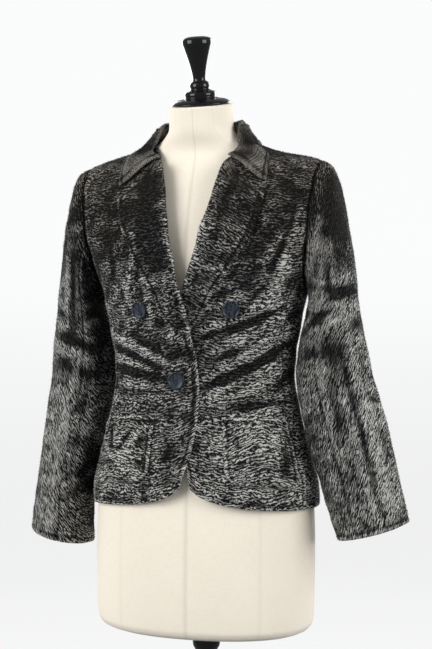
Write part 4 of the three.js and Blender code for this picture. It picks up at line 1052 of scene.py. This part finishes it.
class BlazerLook(bpy.types.PropertyGroup):
    """Sizes and colours that a user would change."""

    ridge_spacing: bpy.props.FloatProperty(
        name="Ridge spacing", description="Distance between the crimped pile's ridges", default=0.0048,
        min=0.002, max=0.03, unit="LENGTH",
    )
    fibre_length: bpy.props.FloatProperty(
        name="Fibre length", description="Length of the pile's longest fibres", default=0.0024,
        min=0.001, max=0.02, unit="LENGTH",
    )
    fibre_count: bpy.props.IntProperty(
        name="Fibres", description="Number of single fibres on each of the three groups", default=56000,
        min=1000, max=180000,
    )
    ground: bpy.props.FloatVectorProperty(
        name="Ground", description="Colour between the ridges", default=(0.004, 0.004, 0.0045),
        subtype="COLOR", min=0, max=1,
    )
    tips: bpy.props.FloatVectorProperty(
        name="Tips", description="Colour of the fibre tips", default=(0.58, 0.575, 0.54),
        subtype="COLOR", min=0, max=1,
    )
    # The upper ground and upper tips are the pile's colours with less sheen at the chest and shoulders: painted shade.
    ground_upper: bpy.props.FloatVectorProperty(
        name="Upper ground", description="Colour between the ridges at the chest and shoulders",
        default=(0.008, 0.007, 0.006), subtype="COLOR", min=0, max=1,
    )
    tips_upper: bpy.props.FloatVectorProperty(
        name="Upper tips", description="Colour of the fibre tips at the chest and shoulders",
        default=(0.36, 0.335, 0.295), subtype="COLOR", min=0, max=1,
    )
    lining: bpy.props.FloatVectorProperty(
        name="Lining", description="Colour of the inside", default=(0.02, 0.018, 0.017),
        subtype="COLOR", min=0, max=1,
    )
    canvas: bpy.props.FloatVectorProperty(
        name="Canvas", description="Colour of the form's canvas", default=(0.86, 0.785, 0.655),
        subtype="COLOR", min=0, max=1,
    )
    canvas_shade: bpy.props.FloatVectorProperty(
        name="Canvas shade", description="Colour of the canvas where it has darkened",
        default=(0.82, 0.745, 0.62), subtype="COLOR", min=0, max=1,
    )
    canvas_light: bpy.props.FloatVectorProperty(
        name="Canvas slubs", description="Colour of the thicker threads", default=(0.92, 0.87, 0.78),
        subtype="COLOR", min=0, max=1,
    )
    lacquer: bpy.props.FloatVectorProperty(
        name="Lacquer", description="Colour of the cap, pole and foot", default=(0.006, 0.006, 0.0065),
        subtype="COLOR", min=0, max=1,
    )
    button: bpy.props.FloatVectorProperty(
        name="Buttons", description="Base colour of the buttons", default=(0.006, 0.009, 0.014),
        subtype="COLOR", min=0, max=1,
    )
    # Pearl colour of the buttons' cloud, and the painted highlight of their streaks.
    button_pearl_and_highlight: bpy.props.FloatVectorProperty(
        name="Button pearl", description="Colour of the buttons' pearly streaks",
        default=(0.05, 0.066, 0.09), subtype="COLOR", min=0, max=1,
    )


class BLAZER_OT_body(bpy.types.Operator):
    """Fronts, side panels and backs"""

    bl_idname = "blazer.body"
    bl_label = "Body panels"

    def execute(self, context):
        materials = cloth_materials(context.scene.blazer_look)
        for side in ("right", "left"):
            make_cloth(f"front_{side}", materials)
            make_cloth(f"side_{side}", materials)
            make_cloth(f"back_{side}", materials)
        return {"FINISHED"}


class BLAZER_OT_sleeves(bpy.types.Operator):
    """Two-piece set-in sleeves"""

    bl_idname = "blazer.sleeves"
    bl_label = "Sleeves"

    def execute(self, context):
        materials = cloth_materials(context.scene.blazer_look)
        cuts = {  # flat size and area of the upper and the under sleeve
            "right": ((0.23, 0.63), 0.121, (0.18, 0.495), 0.063),
            "left": ((0.23, 0.605), 0.122, (0.18, 0.48), 0.061),
        }
        for side, (upper, upper_area, under, under_area) in cuts.items():
            make_cloth(f"sleeve_{side}_upper", materials)
            make_cloth(f"sleeve_{side}_under", materials)
        return {"FINISHED"}


class BLAZER_OT_collar(bpy.types.Operator):
    """Collar's fall and stand, and the turned-back lapels"""

    bl_idname = "blazer.collar"
    bl_label = "Collar and lapels"

    def execute(self, context):
        materials = cloth_materials(context.scene.blazer_look)
        outside = [materials[0], materials[0]]
        make_cloth("collar_fall", outside)
        make_cloth("collar_stand", outside)
        make_cloth("lapel_right", outside)
        make_cloth("lapel_left", outside)
        return {"FINISHED"}


class BLAZER_OT_pockets(bpy.types.Operator):
    """Patch pockets with rounded lower corners"""

    bl_idname = "blazer.pockets"
    bl_label = "Patch pockets"

    def execute(self, context):
        materials = cloth_materials(context.scene.blazer_look)
        for side in ("right", "left"):
            piece = make_cloth(f"pocket_{side}", materials)
        return {"FINISHED"}


def fibres(names, count, length, seed):
    """Single triangles that stand on the cloth and lean down the pile, spread evenly over its area.

    Each keeps its root's flat place, tone and crimp.
    """
    rng = np.random.default_rng(seed)
    grids = {name: cloth_grid(name) for name in names}
    areas = np.array([
        distances(points)[0][:, -1].mean() * distances(points)[2][-1].mean()
        for points, _, _ in grids.values()
    ])
    places, flats, values = [], [], []
    for (name, (points, normals, flat)), share in zip(grids.items(), areas / areas.sum()):
        rows, cols = points.shape[:2]
        number = int(count * share)
        i, j = rng.uniform(0, cols - 1.001, number), rng.uniform(0, rows - 1.001, number)
        a, b = i.astype(int), j.astype(int)
        s, t = (i - a)[:, None], (j - b)[:, None]
        root = mix(mix(points[b, a], points[b, a + 1], s), mix(points[b + 1, a], points[b + 1, a + 1], s), t)
        out = normals[b, a]
        down = unit(np.cross(np.cross(out, (0, 0, -1.0)), out) + rng.normal(size=(number, 3)) * 0.5)
        lean = rng.uniform(0.1, 0.8, number)[:, None]
        tall = length * rng.uniform(0.45, 1, number)[:, None]
        tip = root + unit(out + down * lean) * tall
        wide = unit(np.cross(out, down) + rng.normal(size=(number, 3)) * 0.3) * rng.uniform(0.2, 0.42, number)[:, None]
        sunk = root - out * 0.4
        places.append(np.stack([sunk - wide, sunk + wide, tip], 1).reshape(-1, 3))
        step = rng.uniform(-0.5, 0.5, (number, 2)) * MM
        flats.append(np.repeat(flat[b, a] + (flat[b + 1, a + 1] - flat[b, a]) * np.hstack([s, t]) + step, 3, axis=0))
        lay_and_shade = tone(points, normals, CLOTH[name][4], list(CLOTH).index(name))[b, a]
        crimp = np.full(number, CRIMP.get(name.split("_")[0], 1.0))
        values.append(np.repeat(np.stack([lay_and_shade, crimp], -1), 3, axis=0))
    places, values = np.concatenate(places), np.concatenate(values)
    named = {"tone": values[:, 0], "crimp": values[:, 1], "up": np.tile([0.0, 0.0, 1.0], len(places) // 3)}
    return places, np.arange(len(places)).reshape(-1, 3), np.concatenate(flats), named


class BLAZER_OT_pile(bpy.types.Operator):
    """Single fibres of the pile, which soften the outlines"""

    bl_idname = "blazer.pile"
    bl_label = "Pile fibres"

    def execute(self, context):
        look = context.scene.blazer_look
        material = made("pile_fibre", pile_material, look, True)
        groups = {
            "pile_body": [name for name in CLOTH if name.split("_")[0] in ("front", "side", "back")],
            "pile_sleeves": [name for name in CLOTH if name.startswith("sleeve")],
            "pile_collar": [name for name in CLOTH if name.split("_")[0] in ("collar", "lapel", "pocket")],
        }
        counts = (1.5, 1.2, 0.4)
        for seed, ((name, pieces), share) in enumerate(zip(groups.items(), counts)):
            number = int(look.fibre_count * share)
            places, faces, flat, values = fibres(pieces, number, look.fibre_length / MM, seed + 5)
            place_piece(make_mesh(name, places, faces, [material], None, flat, values), "pile_cloth")
        return {"FINISHED"}


def button_mesh(material):
    """A turned button with four holes cut through it, its back at height 0 and its face up."""
    inner = BUTTON["radius"] - BUTTON["rim"]
    profile = np.array([
        (0, 0), (12.6, 0), (13.6, 0.7), (14, 1.8), (13.9, 3.4), (13.2, 4.4), (12.4, 4.6),
        (inner, 4.3), (inner - 0.9, 3.2), (inner - 2.2, 2.7), (6, BUTTON["floor"]), (0, BUTTON["floor"]),
    ])
    piece = rings_mesh("button", turned_rings(rounded(profile, 3), 64), material)
    turn = np.linspace(0, 2 * np.pi, 16, endpoint=False)
    cutters = []
    for right, up in ((1, 1), (-1, 1), (-1, -1), (1, -1)):
        circle = np.stack([np.cos(turn), np.sin(turn)], -1) * BUTTON["hole"]
        circle = circle + np.array([right, up]) * BUTTON["hole_offset"]
        rings = np.stack([np.concatenate([circle, np.full((16, 1), z)], 1) for z in (-3, 9)])
        cutters.append(rings_mesh("hole", rings, material))
    for cutter in cutters:
        cut = piece.modifiers.new("hole", "BOOLEAN")
        cut.operation, cut.object, cut.solver = "DIFFERENCE", cutter, "EXACT"
    bpy.context.view_layer.update()
    depsgraph = bpy.context.evaluated_depsgraph_get()
    mesh = bpy.data.meshes.new_from_object(piece.evaluated_get(depsgraph))
    for extra in [piece, *cutters]:
        bpy.data.objects.remove(extra)
    return mesh


def tube(path, radius, steps=10):
    """Rings round a path: circles square to its slope, with rounded ends."""
    slope = unit(np.gradient(path, axis=0))
    aside = unit(np.cross(slope, (0.3, 0.2, 1.0)))
    other = np.cross(slope, aside)
    turn = np.linspace(0, 2 * np.pi, steps, endpoint=False)[None, :, None]
    share = np.linspace(0, 1, len(path))[:, None, None]
    thick = radius * np.sqrt(np.clip(1 - np.abs(share * 2 - 1) ** 14, 0.02, 1))
    return path[:, None] + thick * (aside[:, None] * np.cos(turn) + other[:, None] * np.sin(turn))


class BLAZER_OT_buttons(bpy.types.Operator):
    """Three four-hole buttons and their thread"""

    bl_idname = "blazer.buttons"
    bl_label = "Buttons"

    def execute(self, context):
        look = context.scene.blazer_look
        mesh = button_mesh(made("polished_button", button_material, look))
        thread = made("button_thread", thread_material, look)
        for name, (x, z, off) in BUTTON_PLACES.items():
            side = 1 if x > 0 else -1
            angle = angle_at_x(np.array(float(abs(x))), np.array(float(z)))
            out = mirrored(torso_normal(angle, np.array(float(z))), side)
            origin = front_point(side, angle, np.array(float(z))) + out * off
            turn = Vector((0, 0, 1)).rotation_difference(Vector(out))
            matrix = turn.to_matrix().to_4x4()
            matrix.translation = Vector(origin * MM)
            own = mesh.copy()
            own.transform(matrix)
            own.name = "shown_" + name
            own.shade_smooth()
            piece = bpy.data.objects.new("shown_" + name, own)
            context.scene.collection.objects.link(piece)
            place_piece(piece, "button_shell", name)
            spin = np.array(turn.to_matrix())
            hole = BUTTON["hole_offset"]
            t = np.linspace(-1, 1, 21)
            for strand, up in enumerate((-hole, hole)):
                path = np.stack([t * hole, 0 * t + up, 3.3 - 3.4 * np.abs(t) ** 6], -1)
                rings = tube(path @ spin.T + origin, 0.55)
                sewn = rings_mesh(f"thread_{name}_{strand}", rings, thread)
                place_piece(sewn, "pile_cloth")
        bpy.data.meshes.remove(mesh)
        return {"FINISHED"}


class BLAZER_OT_form(bpy.types.Operator):
    """The dress form's canvas body"""

    bl_idname = "blazer.form"
    bl_label = "Dress form"

    def execute(self, context):
        material = made("form_canvas", canvas_material, context.scene.blazer_look)
        z = np.concatenate([np.linspace(640, 660, 9)[:-1], np.linspace(660, 1491, 190)])[:, None]
        angle = np.linspace(0, 360, 280, endpoint=False)[None, :]
        rings = section_point(FORM_CURVES, angle, z + 0 * angle)
        tilt = np.tan(NECK_TILT * DEGREE) * smooth((z - NECK_BASE) / (FORM[-1, 0] - NECK_BASE))
        rings[..., 2] += (rings[..., 1] - FORM_CURVES[3](z)) * tilt
        fromfront = (angle + 180) % 360 - 180
        lengths = np.stack(np.broadcast_arrays(fromfront / 360 * 0.96, z * MM), -1)
        seam = np.zeros((len(z), 280))
        for middle in (0, 36.7, -36.7, 180, 143, -143, 90, -90):
            away = np.abs((angle - middle + 180) % 360 - 180)
            seam = np.maximum(seam, np.clip(1 - away / 0.9, 0, 1) + 0 * z)
        piece = rings_mesh("canvas_form", rings, material, lengths, seam)
        place_piece(piece, "canvas", "form_body")
        return {"FINISHED"}


class BLAZER_OT_turned(bpy.types.Operator):
    """Neck cap with its knob, pole and foot, all turned and lacquered"""

    bl_idname = "blazer.turned"
    bl_label = "Cap, pole and foot"

    def execute(self, context):
        material = made("black_lacquer", lacquer_material, context.scene.blazer_look)
        cap = turned_rings(rounded(CAP_PROFILE, 4), 96)
        tilt = np.array(Euler((NECK_TILT * DEGREE, 0, 0)).to_matrix())
        cap = cap @ tilt.T + np.array(CAP_PLACE)
        place_piece(rings_mesh("turned_cap", cap, material), "lacquer", "neck_cap")
        for name, profile, node in (("turned_pole", POLE_PROFILE, "pole"), ("turned_foot", FOOT_PROFILE, "foot")):
            rings = turned_rings(rounded(profile, 4), 96) + np.array([0, POLE_Y, 0])
            place_piece(rings_mesh(name, rings, material), "lacquer", node)
        return {"FINISHED"}


class BLAZER_OT_studio(bpy.types.Operator):
    """Pale round studio floor that curves up to a wall, soft lights and the camera"""

    bl_idname = "blazer.studio"
    bl_label = "Studio"

    def execute(self, context):
        turn = np.linspace(0, np.pi / 2, 13)
        reach = np.concatenate([[50, 1500, 3000], 3600 + 1400 * np.sin(turn), [5000]])
        rise = np.concatenate([[0, 0, 0], 1400 - 1400 * np.cos(turn), [6000]]) - 0.4
        around = np.linspace(0, 2 * np.pi, 96, endpoint=False)
        rings = np.stack(
            np.broadcast_arrays(reach[:, None] * np.cos(around), reach[:, None] * np.sin(around), rise[:, None]), -1
        )
        index = np.arange(rings.shape[0] * 96).reshape(-1, 96)
        after = np.roll(index, -1, axis=1)
        quads = np.stack([index[:-1], after[:-1], after[1:], index[1:]], -1).reshape(-1, 4)[:, ::-1]
        floor = make_mesh("studio_floor", rings.reshape(-1, 3), quads, [made("studio_paper", studio_material)])
        middle = make_mesh(
            "studio_middle", rings[0], [list(range(96))], [made("studio_paper", studio_material)]
        )
        for paper in (floor, middle):
            paper.visible_diffuse = paper.visible_glossy = False
        context.scene.view_settings.view_transform = "Standard"
        world = bpy.data.worlds.new("studio")
        world.use_nodes = True
        world.node_tree.nodes["Background"].inputs[0].default_value = (0.97, 0.985, 1.0, 1)
        world.node_tree.nodes["Background"].inputs[1].default_value = 0.32
        context.scene.world = world
        lights = {  # azimuth, height, distance, size, watts
            "key": (-44, 1.9, 2.6, 1.5, 74),
            "fill": (74, 1.9, 2.6, 1.5, 64),
            "back_left": (160, 2.0, 2.6, 1.4, 44),
            "back_right": (-140, 2.0, 2.6, 1.4, 44),
        }
        for name, (azimuth, height, distance, size, watts) in lights.items():
            data = bpy.data.lights.new("light_" + name, "AREA")
            data.shape, data.size, data.size_y, data.energy = "RECTANGLE", size, size * 1.3, watts
            lamp = bpy.data.objects.new("light_" + name, data)
            lamp.location = (
                distance * np.sin(azimuth * DEGREE), -distance * np.cos(azimuth * DEGREE), height
            )
            aim = Vector((0, 0, 1.1)) - lamp.location
            lamp.rotation_euler = aim.to_track_quat("-Z", "Y").to_euler()
            context.scene.collection.objects.link(lamp)
        data = bpy.data.cameras.new("camera")
        data.sensor_fit, data.sensor_height, data.lens = "VERTICAL", 24, 42.58
        camera = bpy.data.objects.new("camera", data)
        azimuth, distance, aside = 15 * DEGREE, 1.9, 0.018
        camera.location = (
            distance * np.sin(azimuth) + aside * np.cos(azimuth),
            -distance * np.cos(azimuth) + aside * np.sin(azimuth),
            1.134,
        )
        camera.rotation_euler = (np.pi / 2, 0, azimuth)
        context.scene.collection.objects.link(camera)
        context.scene.camera = camera
        return {"FINISHED"}


OPERATORS = (
    BLAZER_OT_body, BLAZER_OT_sleeves, BLAZER_OT_collar, BLAZER_OT_pockets, BLAZER_OT_pile,
    BLAZER_OT_buttons, BLAZER_OT_form, BLAZER_OT_turned, BLAZER_OT_studio,
)


class BLAZER_PT_panel(bpy.types.Panel):
    """Lists the blazer's pieces and their looks"""

    bl_idname = "BLAZER_PT_panel"
    bl_label = "Blazer"
    bl_space_type = "VIEW_3D"
    bl_region_type = "UI"
    bl_category = "Blazer"

    def draw(self, context):
        for operator in OPERATORS:
            self.layout.operator(operator.bl_idname)
        for name in BlazerLook.__annotations__:
            self.layout.prop(context.scene.blazer_look, name)


def register():
    for item in (BlazerLook, *OPERATORS, BLAZER_PT_panel):
        bpy.utils.register_class(item)
    bpy.types.Scene.blazer_look = bpy.props.PointerProperty(type=BlazerLook)


def unregister():
    del bpy.types.Scene.blazer_look
    for item in (BLAZER_PT_panel, *reversed(OPERATORS), BlazerLook):
        bpy.utils.unregister_class(item)


def main():
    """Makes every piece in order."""
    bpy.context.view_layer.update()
    register()
    for operator in OPERATORS:
        getattr(bpy.ops.blazer, operator.bl_idname.split(".")[1])()


if __name__ == "__main__":
    main()
